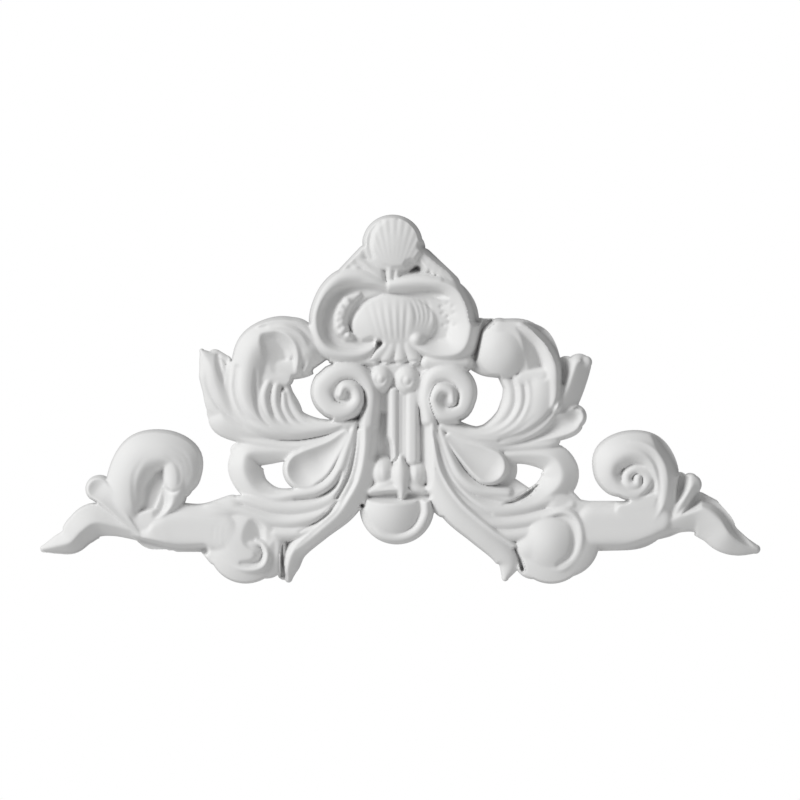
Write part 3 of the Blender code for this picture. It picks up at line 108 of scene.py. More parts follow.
class Relief:
    # a height for each grid point, and how far each lies inside the outline
    def __init__(self, grid):
        self.grid = grid
        self.x = np.arange(*casting["across"], grid)
        self.z = np.arange(*casting["upright"], grid)
        self.gridX, self.gridZ = np.meshgrid(self.x, self.z)
        self.height = np.full(self.gridX.shape, -1.0)
        self.inside = np.full(self.gridX.shape, -far)

    def span(self, low, high, axis):
        first = max(0, int((low - axis[0]) / self.grid))
        last = min(len(axis), int((high - axis[0]) / self.grid) + 2)
        return first, max(first, last)

    def along(self, rows, margin):
        # for each grid point near the path: distance from it, the same across it in half widths and in
        # millimetres, positive to the left, and the half width and level there
        reach = rows[:, 2].max() + margin
        i0, i1 = self.span(rows[:, 0].min() - reach, rows[:, 0].max() + reach, self.x)
        j0, j1 = self.span(rows[:, 1].min() - reach, rows[:, 1].max() + reach, self.z)
        window = (slice(j0, j1), slice(i0, i1))
        gx, gz = self.gridX[window], self.gridZ[window]
        away = np.full(gx.shape, far)
        side = np.ones(gx.shape)
        sideways = np.zeros(gx.shape)
        place = np.zeros(gx.shape)
        for k, (a, b) in enumerate(zip(rows, rows[1:])):
            r = max(a[2], b[2]) + margin
            m0, m1 = self.span(min(a[0], b[0]) - r, max(a[0], b[0]) + r, self.x)
            n0, n1 = self.span(min(a[1], b[1]) - r, max(a[1], b[1]) + r, self.z)
            part = (slice(n0 - j0, n1 - j0), slice(m0 - i0, m1 - i0))
            x, z = gx[part] - a[0], gz[part] - a[1]
            dx, dz = b[0] - a[0], b[1] - a[1]
            t = np.clip((x * dx + z * dz) / max(dx * dx + dz * dz, 1e-9), 0, 1)
            distance = np.hypot(x - t * dx, z - t * dz)
            offset = (dx * z - dz * x) / max(math.hypot(dx, dz), 1e-6)
            closer = distance < away[part]
            away[part] = np.where(closer, distance, away[part])
            side[part] = np.where(closer, np.sign(offset), side[part])
            sideways[part] = np.where(closer, offset, sideways[part])
            place[part] = np.where(closer, k + t, place[part])
        k = np.minimum(place.astype(int), len(rows) - 2)
        f = place - k
        width = np.maximum(rows[k, 2] * (1 - f) + rows[k + 1, 2] * f, casting["finest"])
        level = rows[k, 3] * (1 - f) + rows[k + 1, 3] * f
        return window, {"away": away, "across": side * away / width, "width": width, "level": level,
                        "sideways": np.clip(sideways, -width, width)}

    def raiseTo(self, window, form):
        # the higher of what is there and the new form, rounded where they cross
        old = self.height[window]
        self.height[window] = np.maximum(old, form) + rounding(old, form, casting["formBlend"])

    def band(self, points, steep=0.7, lean=0, power=2, solid=True, cap=6, dip=0, rim=0.75, tilt=0,
             per=casting["steps"]):
        # a strip along a path: from its crest line the height falls by steep times the half width, or by cap
        # if that is less, times a power of the distance from that line; lean moves the line to the left, dip
        # hollows the strip between two rims, and tilt slopes it down to the left
        rows = through(points, per)
        rows[:, 2] = np.maximum(rows[:, 2], 3 * casting["finest"])
        window, at = self.along(rows, casting["bandReach"])
        v = np.clip(at["across"], -1, 1)
        fall = np.where(v > lean, (v - lean) / (1 - lean), (lean - v) / (1 + lean)) ** power
        if dip:
            q = np.abs(v)
            fall = np.where(q < rim, dip * (1 - (q / rim) ** 2), ((q - rim) / (1 - rim)) ** 2)
        form = at["level"] - np.minimum(steep * at["width"], cap) * fall - tilt * at["sideways"]
        self.raiseTo(window, form - casting["wall"] * np.maximum(at["away"] - at["width"], 0))
        if solid:
            self.inside[window] = np.maximum(self.inside[window], at["width"] - at["away"])

    def fill(self, points, steep=0.1):
        # a nearly level band that closes the ground between the forms
        self.band(points, steep)

    def dome(self, cx, cz, rx, rz, top, drop, power=2, solid=True, ribs=None):
        # an oval boss: top less drop times a power of the distance from the middle; ribs are a cosine of the
        # angle round their hinge
        x, z = self.gridX, self.gridZ
        r = np.hypot((x - cx) / rx, (z - cz) / rz)
        inward = (1 - r) * min(rx, rz)
        form = top - drop * np.minimum(r, 1) ** power
        if ribs:
            angle = np.degrees(np.arctan2(x - ribs["x"], z - ribs["z"]))
            wave = 1 - np.abs(np.cos(np.pi * ribs["count"] * angle / ribs["spread"] / 2))
            form = form - ribs["depth"] * wave * np.clip(2 * r, 0.2, 1)
        self.raiseTo((slice(None), slice(None)), form + casting["wall"] * np.minimum(inward, 0))
        if solid:
            self.inside = np.maximum(self.inside, inward)

    def groove(self, points):
        # a round-bottomed line cut into what is there: depth times one less the squared distance across
        rows = through(points, casting["steps"])
        rows[:, 2] = np.maximum(rows[:, 2], 2 * casting["finest"])
        window, at = self.along(rows, casting["grooveReach"])
        self.height[window] -= at["level"] * np.clip(1 - at["across"] ** 2, 0, 1)

    def pocket(self, points, wall=casting["wall"], tilt=0):
        # a floor, level or tilted down to the left, whose walls rise outwards by wall times the distance
        window, at = self.along(through(points, casting["steps"]), casting["pocketReach"])
        floor = at["level"] - tilt * at["sideways"] + wall * np.maximum(at["away"] - at["width"], 0)
        self.height[window] = np.minimum(self.height[window], floor)

    def hole(self, points):
        # an opening right through, along a path of rows without a height
        rows = through([(x, z, w, 0) for x, z, w in points], casting["steps"])
        window, at = self.along(rows, casting["holeReach"])
        self.inside[window] = np.minimum(self.inside[window], at["away"] - at["width"])

    def drafted(self):
        # the carving under its coat of primer, held below an edge that rises inwards from the outline
        self.inside += casting["outset"]
        within = self.inside > 0
        ring = np.pad(within, 1)
        rows, cols = within.shape
        near = [(j, i) for j in (-1, 0, 1) for i in (-1, 0, 1) if j or i]
        border = np.zeros_like(within)
        for j, i in near:
            border |= ~ring[1 + j:1 + j + rows, 1 + i:1 + i + cols]
        atBorder = np.minimum(self.inside, 1.5 * self.grid)
        depth = np.where(within, np.where(border, atBorder, far), 0)
        for _ in range(int(casting["draftReach"] / self.grid)):
            wide = np.pad(depth, 1, mode="edge")
            for j, i in near:
                shifted = wide[1 + j:1 + j + rows, 1 + i:1 + i + cols]
                depth = np.minimum(depth, shifted + self.grid * math.hypot(j, i))
        edge = casting["land"] + casting["draft"] * np.where(within, depth, 0)
        coated = blurred(self.height, casting["coat"], self.grid)
        hold = np.minimum(np.abs(self.height - coated) / casting["coatHold"], 1) ** 2
        carved = np.maximum(coated * (1 - hold) + self.height * hold, casting["least"])
        return np.minimum(carved, edge) - rounding(carved, edge, casting["edgeBlend"])


# Each row below is x, z, half width and height over the back, in millimetres, from the middle of the stem.
# In a groove the last value is its depth, and in a pocket its floor. Later forms lie over earlier ones.
def stemGround(r):
    # stem and crown ground
    r.fill([(0, 20, 15, 6), (0, -10, 13, 5), (0, -46, 14.5, 5)])
    r.fill([(-2, 24, 30, 10), (-3, 40, 36, 11), (-3, 52, 30, 11), (-3, 62, 20, 11)], 0.02)


def leftGround(r):
    # ground of the left leaf, its fan, loop and blade
    r.fill([(-22, -13, 4, 6), (-40, -19, 7, 6), (-60, -18, 8, 6), (-76, -6, 10, 6), (-76, 15, 8, 7),
        (-66, 26, 10, 7), (-54, 26, 11, 7)])
    r.fill([(-63, 8, 6, 6), (-58.5, -4, 7.9, 6), (-52.2, -12.4, 6.9, 6), (-38, -15.5, 5, 6),
        (-26, -14, 4, 6)])
    r.fill([(-53, 18, 7.4, 7), (-46, 19.5, 6.6, 7), (-39.5, 22, 4, 6)])
    r.fill([(-19, -20, 5, 6), (-27, -45, 7, 6), (-45, -57, 9, 7), (-62, -64, 10, 7), (-76, -71, 12, 7)])
    r.fill([(-24, -20, 3, 6), (-38, -33, 9, 6), (-50, -36, 7, 6)])
    r.fill([(-58, -68, 5, 6), (-58.5, -80, 4.2, 5), (-58, -87.5, 2.6, 4)], 0.05)
    r.fill([(-66, 20, 7, 8), (-62, 12, 6.5, 8)])
    r.fill([(-58, 13.2, 3.2, 8), (-48, 15.3, 3.8, 8), (-40, 19, 3, 8)], 0.2)
    r.fill([(-17, -9, 6, 5), (-30, -12.5, 3, 5.5)])


def leftWingGround(r):
    # inside the left wing curl, and the strip that joins wing and leaf
    r.dome(-121, -46, 14, 14, 8, 0.5)
    r.band([(-112, -56, 4, 11), (-98, -58.6, 6, 12), (-84, -54.5, 6.2, 12)], steep=0.4)


def rightGround(r):
    # ground of the right leaf, its wedges, fan and blade
    r.fill([(21, -13, 5, 6), (40, -20, 6, 6), (60, -17, 9, 6), (73, -4, 8, 6), (73, 15, 8, 7),
        (64, 25, 10, 7), (52, 25, 11, 7)])
    r.fill([(33, 16.5, 2.4, 7), (36, 18.2, 2.8, 7), (43, 15.6, 3.4, 8), (52, 14.2, 3.2, 9)], 0.2)
    r.fill([(57, -43.5, 3.4, 8), (62.5, -48, 4, 9)], 0.2)
    r.fill([(66, 20, 6, 8), (64, 10, 6, 7)])
    r.fill([(60, 7, 7.4, 6), (59.5, -4, 8.8, 6), (51, -15, 6.5, 6), (38, -19, 5, 6), (26, -15, 5, 6)])
    r.fill([(40.5, 37.5, 3, 3.5), (38.5, 28, 3.4, 3.5), (38, 19.3, 3.6, 3.5)], 0.05)
    r.fill([(46, 37, 3.2, 3.5), (41, 36.8, 3.4, 3.5)], 0.05)
    r.fill([(83.5, 17, 4.4, 4), (81, 8, 4, 4)], 0.05)
    r.fill([(19, -20, 5, 6), (27, -45, 7, 6), (45, -57, 10, 7), (62, -64, 10, 7), (80, -71, 14, 7)])
    r.fill([(24, -20, 3, 6), (38, -33, 9, 6), (50, -36, 7, 6)])
    r.fill([(60, -68, 5, 6), (58, -80, 4.6, 5)], 0.05)
    r.fill([(64, -55, 5, 8), (76, -54, 6, 9)])
    r.band([(78, -52, 6, 12), (92, -57, 6, 11), (112, -58, 6, 11)], steep=0.4)
    r.fill([(16, -48, 4.6, 6), (22, -54.5, 4.2, 6)])


def leftWing(r):
    # left wing: outer roll of the curl, then the level band that runs to the lower curl
    r.band([(-133, -64, 4.4, 9), (-137, -54, 8.8, 14), (-136.5, -40, 9.8, 16.5), (-129.5, -28, 10.6, 17.5),
        (-118, -25, 9.4, 18), (-108.5, -29.5, 8.8, 17), (-107, -38, 7, 15.5), (-109.5, -44, 5.2, 14)],
        lean=-0.3, power=2.2, cap=5.5)
    r.fill([(-131, -61, 4, 11), (-120, -59.5, 5, 12)], 0.04)
    r.band([(-132, -66, 3, 10), (-125, -68.4, 6, 12.5), (-118.5, -66.4, 9.2, 13), (-112, -65, 11, 13),
        (-97, -65.2, 11, 13.5), (-88, -67, 11, 14)], steep=0.6, power=5, cap=6.5)
    r.band([(-97, -71, 5, 11), (-90.5, -76.5, 6.5, 11)], steep=0.3)
    # sloping socket, the folded end of the roll, the leaf under it and the dark nook between
    r.band([(-121, -24.5, 2.4, 17), (-114, -26.6, 4.8, 17.4), (-111.6, -34, 5.6, 17), (-112, -42, 5.2, 16),
        (-114.4, -49.6, 5, 14.8), (-119, -56, 3.2, 13.4)], steep=0.5, power=2.4)
    r.pocket([(-126, -37.6, 1.2, 14.6), (-124.6, -42.6, 4.2, 12.8), (-123.4, -50, 6, 12),
        (-124.4, -57, 4.2, 12.2), (-124.4, -60.4, 1, 12.6)], wall=1.6, tilt=0.6)
    r.groove([(-119, -38.6, 0.4, 0.1), (-117, -43.6, 1.1, 1.6), (-113.4, -46.4, 1.1, 1.5),
        (-108.8, -44.6, 0.5, 0.2)])
    r.groove([(-116.4, -28, 0.4, 0.1), (-110.6, -33.4, 1, 0.7), (-109.6, -40.6, 0.9, 0.5),
        (-111, -44, 0.4, 0.1)])
    # faint rings on the roll
    for k in range(3):
        r.groove([(-114 - 1.2 * k, -23.4 - 2.1 * k, 0.8, 0.1), (-107 - 1.6 * k, -28 - 1.8 * k, 1.2, 0.35),
            (-104.6 - 1.9 * k, -36.5 - 0.6 * k, 1.2, 0.35), (-107.6 - 1.6 * k, -43.6, 0.8, 0.1)])
    r.groove([(-127.5, -29.5, 0.8, 0.1), (-131.8, -37, 1.4, 0.4), (-132.6, -47, 1.4, 0.5),
        (-130.5, -60, 0.8, 0.1)])


def leftWingFoot(r):
    # foot of the left wing and its spoon-shaped lobe
    r.band([(-129.5, -66.6, 4, 11), (-142, -62.5, 5.8, 12), (-152.5, -60.7, 8.5, 13),
        (-159.8, -65.4, 8, 12.5), (-164.8, -70.7, 6.5, 11), (-171.4, -72.9, 4.4, 8.5),
        (-178.4, -74.9, 1.5, 5)], steep=0.8, lean=0.12, power=1.15, cap=6.5, tilt=0.45)
    r.band([(-130.5, -67.5, 1, 11.5), (-138.5, -58, 2.8, 13), (-145.5, -49.5, 4.9, 13.5),
        (-150.6, -44.7, 6.4, 12.6)], dip=0.55, rim=0.78, steep=0.4)


def rightWing(r):
    # right wing: outer roll of the curl, the level band and the ground under its eye
    r.band([(131, -60, 6, 12), (132.6, -48, 6.4, 15), (130.8, -36, 8.8, 16.5), (124.6, -27, 9.6, 17.5),
        (115, -25, 9, 18), (106.7, -29.3, 9, 17.5), (104.4, -36.5, 6.6, 16), (107.5, -42.5, 5.2, 15),
        (113, -45.2, 3.8, 14.5)], steep=0.75, lean=0.15, power=1.8, cap=6.5)
    r.band([(129, -60, 8.5, 13.5), (119, -63, 11.4, 13.5), (105, -63.4, 12, 13.5), (97, -63.4, 12, 13.5)],
        steep=0.6, power=5, cap=6.5)
    r.fill([(112, -56, 4, 13.5), (127, -53, 6, 13.5)], 0.04)
    # bead and groove along the roll
    r.band([(114.5, -20.8, 0.3, 16.4), (121.5, -22, 0.8, 17), (127.5, -26, 1.3, 17.4),
        (131.8, -33, 1.5, 17), (133.2, -42, 1.5, 15.9), (131.3, -53, 1.1, 14.5), (126, -62, 0.4, 13.4)],
        steep=0.6, solid=False)
    r.groove([(113, -23.6, 0.5, 0.05), (120.4, -25, 0.9, 0.4), (126.2, -29.5, 1.4, 1.3),
        (129.2, -36, 1.4, 1.4), (130.2, -46, 1.1, 0.8), (127.6, -54, 0.7, 0.3)])
    # the roll winds on into a low eye
    r.dome(117.4, -40.6, 8.4, 8, 12, 0.5)
    r.fill([(117, -46.5, 3, 12), (124, -44, 4, 12)])
    r.band([(108.5, -43.5, 3, 14.6), (113.5, -46.4, 3.4, 14.6), (119.5, -46.4, 3.2, 14.6),
        (123.8, -42.6, 3, 14.8), (122.8, -37, 2.8, 15), (117.8, -34.8, 2.4, 15.2),
        (113.6, -37.8, 2.2, 15.2), (114.4, -42.2, 2.1, 15.2), (118.4, -42.6, 1.9, 15.4),
        (119, -39.2, 1.5, 15.6)], steep=0.6, cap=1.3, power=2.4, per=6)
    r.pocket([(126.4, -38, 0.1, 15), (126.6, -43, 0.6, 12), (123.6, -46.8, 0.5, 12), (119, -48.8, 0.1, 14)],
        wall=2.4)
    r.groove([(110.6, -40.5, 0.6, 0.3), (111.6, -35.6, 0.9, 0.7), (116, -32.4, 0.9, 0.8),
        (121.6, -33, 0.8, 0.5)])


def rightWingFoot(r):
    # foot of the right wing, its lobe and the wedges beside it
    r.band([(126, -66, 4.5, 11), (133, -63.6, 5.2, 12), (140, -60.6, 5.8, 12.6), (149.5, -57.8, 9.8, 13.5),
        (157.8, -63.1, 9, 13), (163.4, -69.2, 7.4, 12), (170.4, -72.9, 5.3, 9), (178.8, -75.1, 1.9, 5.5)],
        lean=0.35, power=1.4, cap=6.5)
    r.band([(136, -62, 1.5, 11), (140.5, -53, 3, 12.3), (145, -45, 4.6, 13), (146.4, -42.6, 4.6, 12.8)],
        power=1.2, cap=3, tilt=-0.15)
    r.band([(146, -40.5, 3.2, 11), (148.6, -42.5, 2.2, 11)], steep=0.4)
    r.fill([(141, -39.5, 2.6, 5.5), (139.5, -47, 2.4, 6)])
    r.fill([(150.5, -50, 3.2, 6), (157, -53.5, 3.2, 6)])


def wingWalls(r):
    # steep outer walls on the side away from the light, and along the bottom of both bands
    r.pocket([(117, -14.6, 0.1, 17), (122.5, -15.6, 0.1, 13), (127.5, -17.6, 0.4, 8),
        (131.8, -21.4, 0.8, 4.5), (136.6, -27.5, 1.2, 4), (140, -35.5, 0.8, 4)])
    r.pocket([(141.8, -39, 1.4, 4), (140.2, -46, 1, 5), (137.4, -54, 0.1, 12)], wall=4)
    r.pocket([(150.5, -48.5, 1.6, 4), (147, -52, 1, 5), (141, -57.5, 0.1, 12)], wall=3.5)
    r.pocket([(152, -49.5, 0.8, 4), (158, -52, 1, 4), (163.5, -57, 1, 4), (168.4, -65, 1, 4),
        (173.6, -70.8, 0.8, 4.5), (178.6, -74.4, 0.2, 6)])
    r.pocket([(-137, -66, 0.1, 11), (-128.5, -72, 0.6, 4), (-113, -76, 1, 4), (-98, -76, 1, 4)], wall=3.2)
    r.pocket([(97, -76, 0.6, 4.5), (113, -77, 1.6, 4.5), (126, -73.4, 1.6, 4.5), (137, -67.6, 0.8, 6),
        (146, -64, 0.1, 12)], wall=2.6)


def leftLowerCurl(r):
    # left lower curl: boss, hollow, scroll eye and rolled rim
    r.dome(-77, -73.3, 18.4, 18.5, 14.5, 4.5, power=2.6)
    r.dome(-66.5, -80.3, 9, 9, 12, 3)
    r.pocket([(-77.2, -57.8, 0.3, 13.8), (-76, -61.4, 3, 12.8), (-74.8, -65.4, 4.5, 12.2),
        (-74.2, -68.4, 4.5, 12)], wall=0.7, tilt=0.5)
    r.pocket([(-66.4, -61.8, 0.3, 13.2), (-65.8, -65.6, 2.4, 12), (-65.8, -69.4, 2.4, 11.8),
        (-66, -72.6, 0.4, 12.8)], wall=0.7)
    r.band([(-80, -73.2, 1.4, 12.8), (-74.5, -72.6, 1.8, 13.6), (-69.5, -72.6, 1.4, 13)], steep=0.5,
        solid=False)
    r.pocket([(-69.4, -75, 0.8, 10.5), (-69.2, -79.4, 0.9, 10), (-73, -81.8, 0.6, 11.5),
        (-79, -81.8, 0.4, 12.8)], wall=1.4)
    r.dome(-74.4, -76.4, 5, 4.6, 14.2, 2.2, solid=False)
    r.band([(-71.4, -70.6, 0.8, 12.8), (-67.8, -72.8, 1.3, 14), (-66, -77.6, 1.5, 14.8),
        (-67.8, -82.8, 1.6, 15), (-73, -84.8, 1.5, 14.8), (-80, -84.2, 1.2, 14), (-86, -80.4, 0.7, 13.2)],
        steep=0.8, solid=False)
    for k in range(3):
        r.groove([(-84 - 2.6 * k, -57.5 - 1.2 * k, 0.7, 0.05), (-87.6 - 2.6 * k, -65, 1, 0.13),
            (-87 - 2.4 * k, -74, 1, 0.13), (-82 - 2.2 * k, -80.5 - 2 * k, 0.7, 0.05)])
    r.band([(-62, -68, 3, 12), (-61, -76, 3.2, 12), (-63, -82.5, 3.5, 11)], steep=0.5)


def rightLowerCurl(r):
    # right lower curl: boss, domed eye, ring and rim
    r.dome(81.6, -71.6, 18, 17.3, 14.5, 4.5, power=2.6)
    r.dome(76, -74.3, 17.6, 17.6, 14, 3.5)
    r.dome(67, -80.4, 9, 9.2, 12, 3)
    r.dome(75.5, -71.2, 12.6, 12.4, 17.6, 4.6, power=1.9, solid=False)
    r.dome(68, -73, 9, 8, 15, 3.5, solid=False)
    r.groove([(76, -57.5, 0.6, 0.3), (84, -61, 1.5, 0.8), (87.2, -69, 1.8, 1.4), (85.4, -77.4, 1.8, 1.4),
        (79, -82.6, 1.2, 0.8)])
    r.band([(72, -58.6, 1.2, 13.6), (82, -56, 1.5, 14.2), (88.6, -60, 1.6, 14.6), (90.8, -69, 1.6, 14.6),
        (88.4, -78.5, 1.5, 13.8), (81, -84.9, 1.3, 13), (72, -84.2, 0.8, 12.6)], solid=False)


def leftTipLeaf(r):
    # outer tip leaf and second lobe
    r.band([(-78, -16, 5, 9), (-86.6, -4, 9, 11.5), (-91.4, 7, 7.4, 12.5), (-93.6, 15, 7, 12.5),
        (-96.9, 21, 3.6, 10.5), (-99.2, 24.4, 0.7, 9)], steep=0.5, power=1.4, cap=4)
    r.band([(-92.6, 21.6, 3.2, 8), (-88, 18.6, 3.4, 8)], steep=0.3)
    r.fill([(-87, 14, 4, 6), (-88, 18.5, 3.6, 6)])
    r.groove([(-91, 22, 1.4, 1.3), (-90, 16, 1.6, 1.8), (-87.6, 8, 1.1, 1), (-84, -2, 0.6, 0.1)])
    r.groove([(-97, 16, 0.6, 0.1), (-95.6, 6, 1.2, 0.9), (-90, -4, 1.3, 1.2), (-78, -13, 1.2, 1),
        (-62, -18.4, 0.8, 0.3)])
    r.groove([(-96.6, -5.5, 0.6, 0.1), (-90, -10, 1.2, 1), (-78, -15.4, 1.2, 1.1), (-62, -19, 1, 0.6)])
    r.groove([(-93, -12, 0.6, 0.1), (-84, -16, 1.1, 0.9), (-70, -18.6, 1.1, 0.8), (-56, -19.6, 0.7, 0.2)])
    r.band([(-62, -19, 4, 10), (-76, -16, 6, 11), (-86.4, -11, 7.6, 11), (-89.4, -6.2, 6.8, 10)], steep=0.6,
        power=1.4, cap=4)


def leftRolledLeaf(r):
    # stem that rises into the big curl, its outer rim and channel
    r.band([(-24, -12, 2, 13), (-38, -14, 3.6, 13.5), (-54, -15, 5, 14), (-68, -11, 7.5, 15),
        (-75.5, 0, 8.7, 16), (-75.5, 14, 8.8, 17), (-71.5, 25.5, 10, 18), (-62.5, 31.5, 9.4, 18.5),
        (-53.5, 31, 9.4, 18), (-47, 25, 8.6, 16.5)], steep=0.6, lean=0.05, power=1.8, cap=5.5)
    r.fill([(-84.5, 18, 1.2, 10.5), (-85.5, 6, 2.2, 11), (-82, -6, 2.6, 11), (-72, -15, 2.4, 11)], 0.2)
    r.groove([(-81, 16, 1.8, 1.5), (-81.5, 4, 2, 2), (-77, -7, 2, 1.6), (-70, -12.4, 1.5, 1.1),
        (-62, -16.6, 0.6, 0.1)])
    # hollow under the curl and the ribs that fall over its end
    r.fill([(-67, 12, 3, 11), (-64, 20, 5, 11.5), (-62, 26, 5, 12.5)], 0.2)
    r.fill([(-66, 13, 4, 13), (-63, 19, 6.4, 14), (-60, 26, 7, 15.5)])
    r.pocket([(-69.6, 33.4, 0.2, 17.8), (-67, 30.6, 1.4, 15.8), (-64.2, 27.4, 3.2, 14.4),
        (-62, 22.6, 4.6, 13), (-61.6, 18, 5, 12.4)], wall=0.8, tilt=0.3)
    r.band([(-66, 10.6, 3, 13.2), (-57, 10.4, 3.4, 13)], steep=0.15)
    r.fill([(-59, 15.6, 3.6, 12.8), (-52.6, 16, 3.6, 13)])
    r.band([(-70, 37, 1.6, 16.5), (-60, 38.6, 2.2, 17), (-50, 37.2, 3, 16.5), (-43.8, 31, 3.4, 15.5),
        (-40.4, 24, 3, 13), (-41.5, 18.5, 2.4, 11.5)], steep=1.1)
    r.band([(-65, 36, 1.4, 17.5), (-57, 36, 2.2, 18.5), (-50, 32.5, 2.6, 18), (-46.2, 26, 2.8, 16.5),
        (-45.6, 19, 2.6, 14), (-47.5, 14.5, 2, 12)], steep=1.3)
    r.band([(-62, 34.5, 0.9, 18), (-56.5, 32.5, 1.6, 18.8), (-52.3, 28, 2, 18.3), (-50.6, 21, 2.1, 16.6),
        (-51.6, 14, 1.7, 13.5)], steep=1.4)


def leftLeaflets(r):
    # leaflets that sweep back along the stem
    r.band([(-62.5, 12, 1, 12.5), (-66, 7.5, 2.2, 14.2), (-67.6, 0, 2.6, 14.8), (-64.2, -10, 2, 14.4),
        (-55, -16.5, 1.4, 14), (-43, -17, 0.5, 12.6)], steep=0.9)
    r.band([(-59.6, 10.5, 1.2, 12.5), (-61.8, 5, 2.2, 13.8), (-61.6, -4, 2.5, 13.8),
        (-56.6, -12.4, 1.7, 13.6), (-48, -15.8, 1, 13.6), (-38, -15.4, 0.5, 13.4)], steep=0.9)
    r.band([(-58, 3, 1.2, 12.5), (-57, -5, 2.2, 13), (-52, -11.6, 1.5, 13.2), (-43, -13.8, 0.7, 13.2)],
        steep=0.9)
    r.band([(-56.5, 6, 1.6, 11), (-53.4, -3.5, 2.2, 12), (-47.5, -10.6, 2.2, 12.4), (-36, -12.5, 2, 12.5)],
        steep=0.6)
    r.groove([(-71.5, 15, 0.8, 0.6), (-71.8, 4, 1.2, 1.5), (-70.2, -6, 1.1, 1.2), (-65.5, -12.6, 0.9, 0.8),
        (-56, -17.6, 0.5, 0.1)])
    r.groove([(-28, -13.5, 0.8, 0.6), (-38, -18.5, 1.1, 0.9), (-52, -21, 1.2, 1), (-66, -19, 1.1, 0.8),
        (-76, -14, 0.8, 0.1)])
    r.band([(-26, -15, 1.5, 12), (-38, -21, 2.2, 12), (-54, -23.5, 2.6, 11), (-70, -21.5, 2.6, 10.5),
        (-80, -18.5, 1.6, 9.2), (-86, -15.4, 0.6, 8.6)], steep=0.6)


def leftLoop(r):
    # loop round the open eye, and the spoon
    r.band([(-52, -26, 3.6, 11), (-63, -26.2, 5.4, 11), (-74.5, -27.2, 7.2, 11.5), (-77, -32.6, 8.6, 12.5),
        (-75.8, -39.2, 7.8, 12.5), (-71, -45.6, 6.4, 12), (-62, -49.6, 5, 12.5), (-50, -48, 3.6, 13),
        (-39, -44.5, 3, 13.5)], steep=0.75, lean=-0.1, power=1.5)
    r.fill([(-81, -25.5, 3.4, 7), (-77, -22.5, 3, 7)], 0.2)
    r.band([(-27, -17, 1.8, 13), (-33, -24, 5, 13.5), (-41, -31, 9.5, 14), (-47.5, -35, 10.7, 14)],
        dip=0.75, rim=0.8, steep=0.5, cap=4.5)
    r.band([(-22, -12, 1.2, 13), (-26, -24, 2.2, 14), (-31, -37, 2.8, 15), (-39, -44.5, 2.6, 15),
        (-52, -47.4, 2.4, 14), (-62, -48.8, 1.8, 13), (-73, -46, 0.4, 11)])


def leftFan(r):
    # fan of ribs above the blade
    r.band([(-21, -16, 1.4, 13), (-25, -34, 2.8, 14), (-33, -48.5, 3.6, 14.5), (-46, -53.5, 4.2, 14),
        (-62, -53.5, 3.8, 13), (-76, -50.5, 2.6, 12), (-83, -49.4, 0.6, 10.5)], steep=0.6)
    r.band([(-21, -20, 1.4, 13), (-25, -40, 2.6, 14), (-34, -54, 3.4, 14.5), (-48, -60, 3.4, 14),
        (-62, -60.5, 3.4, 13), (-78, -56, 3, 12.6), (-90, -53.5, 1.6, 12), (-97, -53, 0.5, 11)])
    r.band([(-38, -62, 1.4, 13), (-50, -66.5, 2.6, 13), (-62, -67, 3.5, 12.5)], steep=0.6)


def leftBlade(r):
    # blade, and the grooves between the ribs
    r.band([(-16, -6, 3.6, 15), (-16.3, -26, 4.2, 15), (-19.5, -42, 5.2, 15.5), (-27.2, -54.4, 5.8, 16),
        (-39.2, -65.2, 4.6, 15), (-50.8, -75, 4.5, 13), (-54.6, -83.5, 4, 11), (-55.6, -90, 1.4, 7)],
        steep=0.8, lean=-0.35, power=1.15, cap=5)
    r.groove([(-21, -12, 0.7, 1.5), (-22.3, -25, 1, 2.5), (-25.5, -38, 1.3, 3.5), (-31, -49, 1.2, 3)])
    r.groove([(-29, -36, 0.6, 1.5), (-33, -44, 1.2, 2.5), (-42, -49.5, 1, 1.6), (-52, -50, 0.8, 1)])
    r.groove([(-31, -51, 0.7, 1.5), (-36, -57, 1.1, 3), (-42, -61.5, 0.9, 2), (-50, -66, 0.7, 1)])
    r.groove([(-22, -40, 0.7, 0.7), (-30, -54.5, 1, 1.2), (-41, -64.8, 1, 1.2), (-52, -74, 0.7, 0.7)])
    r.groove([(-58.6, -73, 0.5, 2), (-58.8, -80, 0.9, 6), (-58.3, -88, 1.2, 8)])


def rightTipLeaf(r):
    # outer tip leaf and second lobe
    r.band([(70, -17, 4, 10), (79, -8, 6.5, 11.5), (85.2, 3, 5.8, 12.5), (88.4, 12, 5.8, 12.5),
        (90, 17, 5.6, 12)], lean=0.35, power=1.2, cap=4, tilt=-0.25)
    r.band([(86, 18, 2.9, 10), (93.4, 18.7, 2.7, 9.5)], steep=0.3)
    r.fill([(84.5, -47.5, 2.4, 8), (88, -51.5, 2.6, 8)], 0.2)
    r.band([(62, -19, 4, 10), (74, -15.5, 6, 11), (84, -11.5, 7.2, 11.5), (87.6, -8.6, 5.8, 11)], dip=0.8,
        rim=0.7, steep=0.5, cap=3)


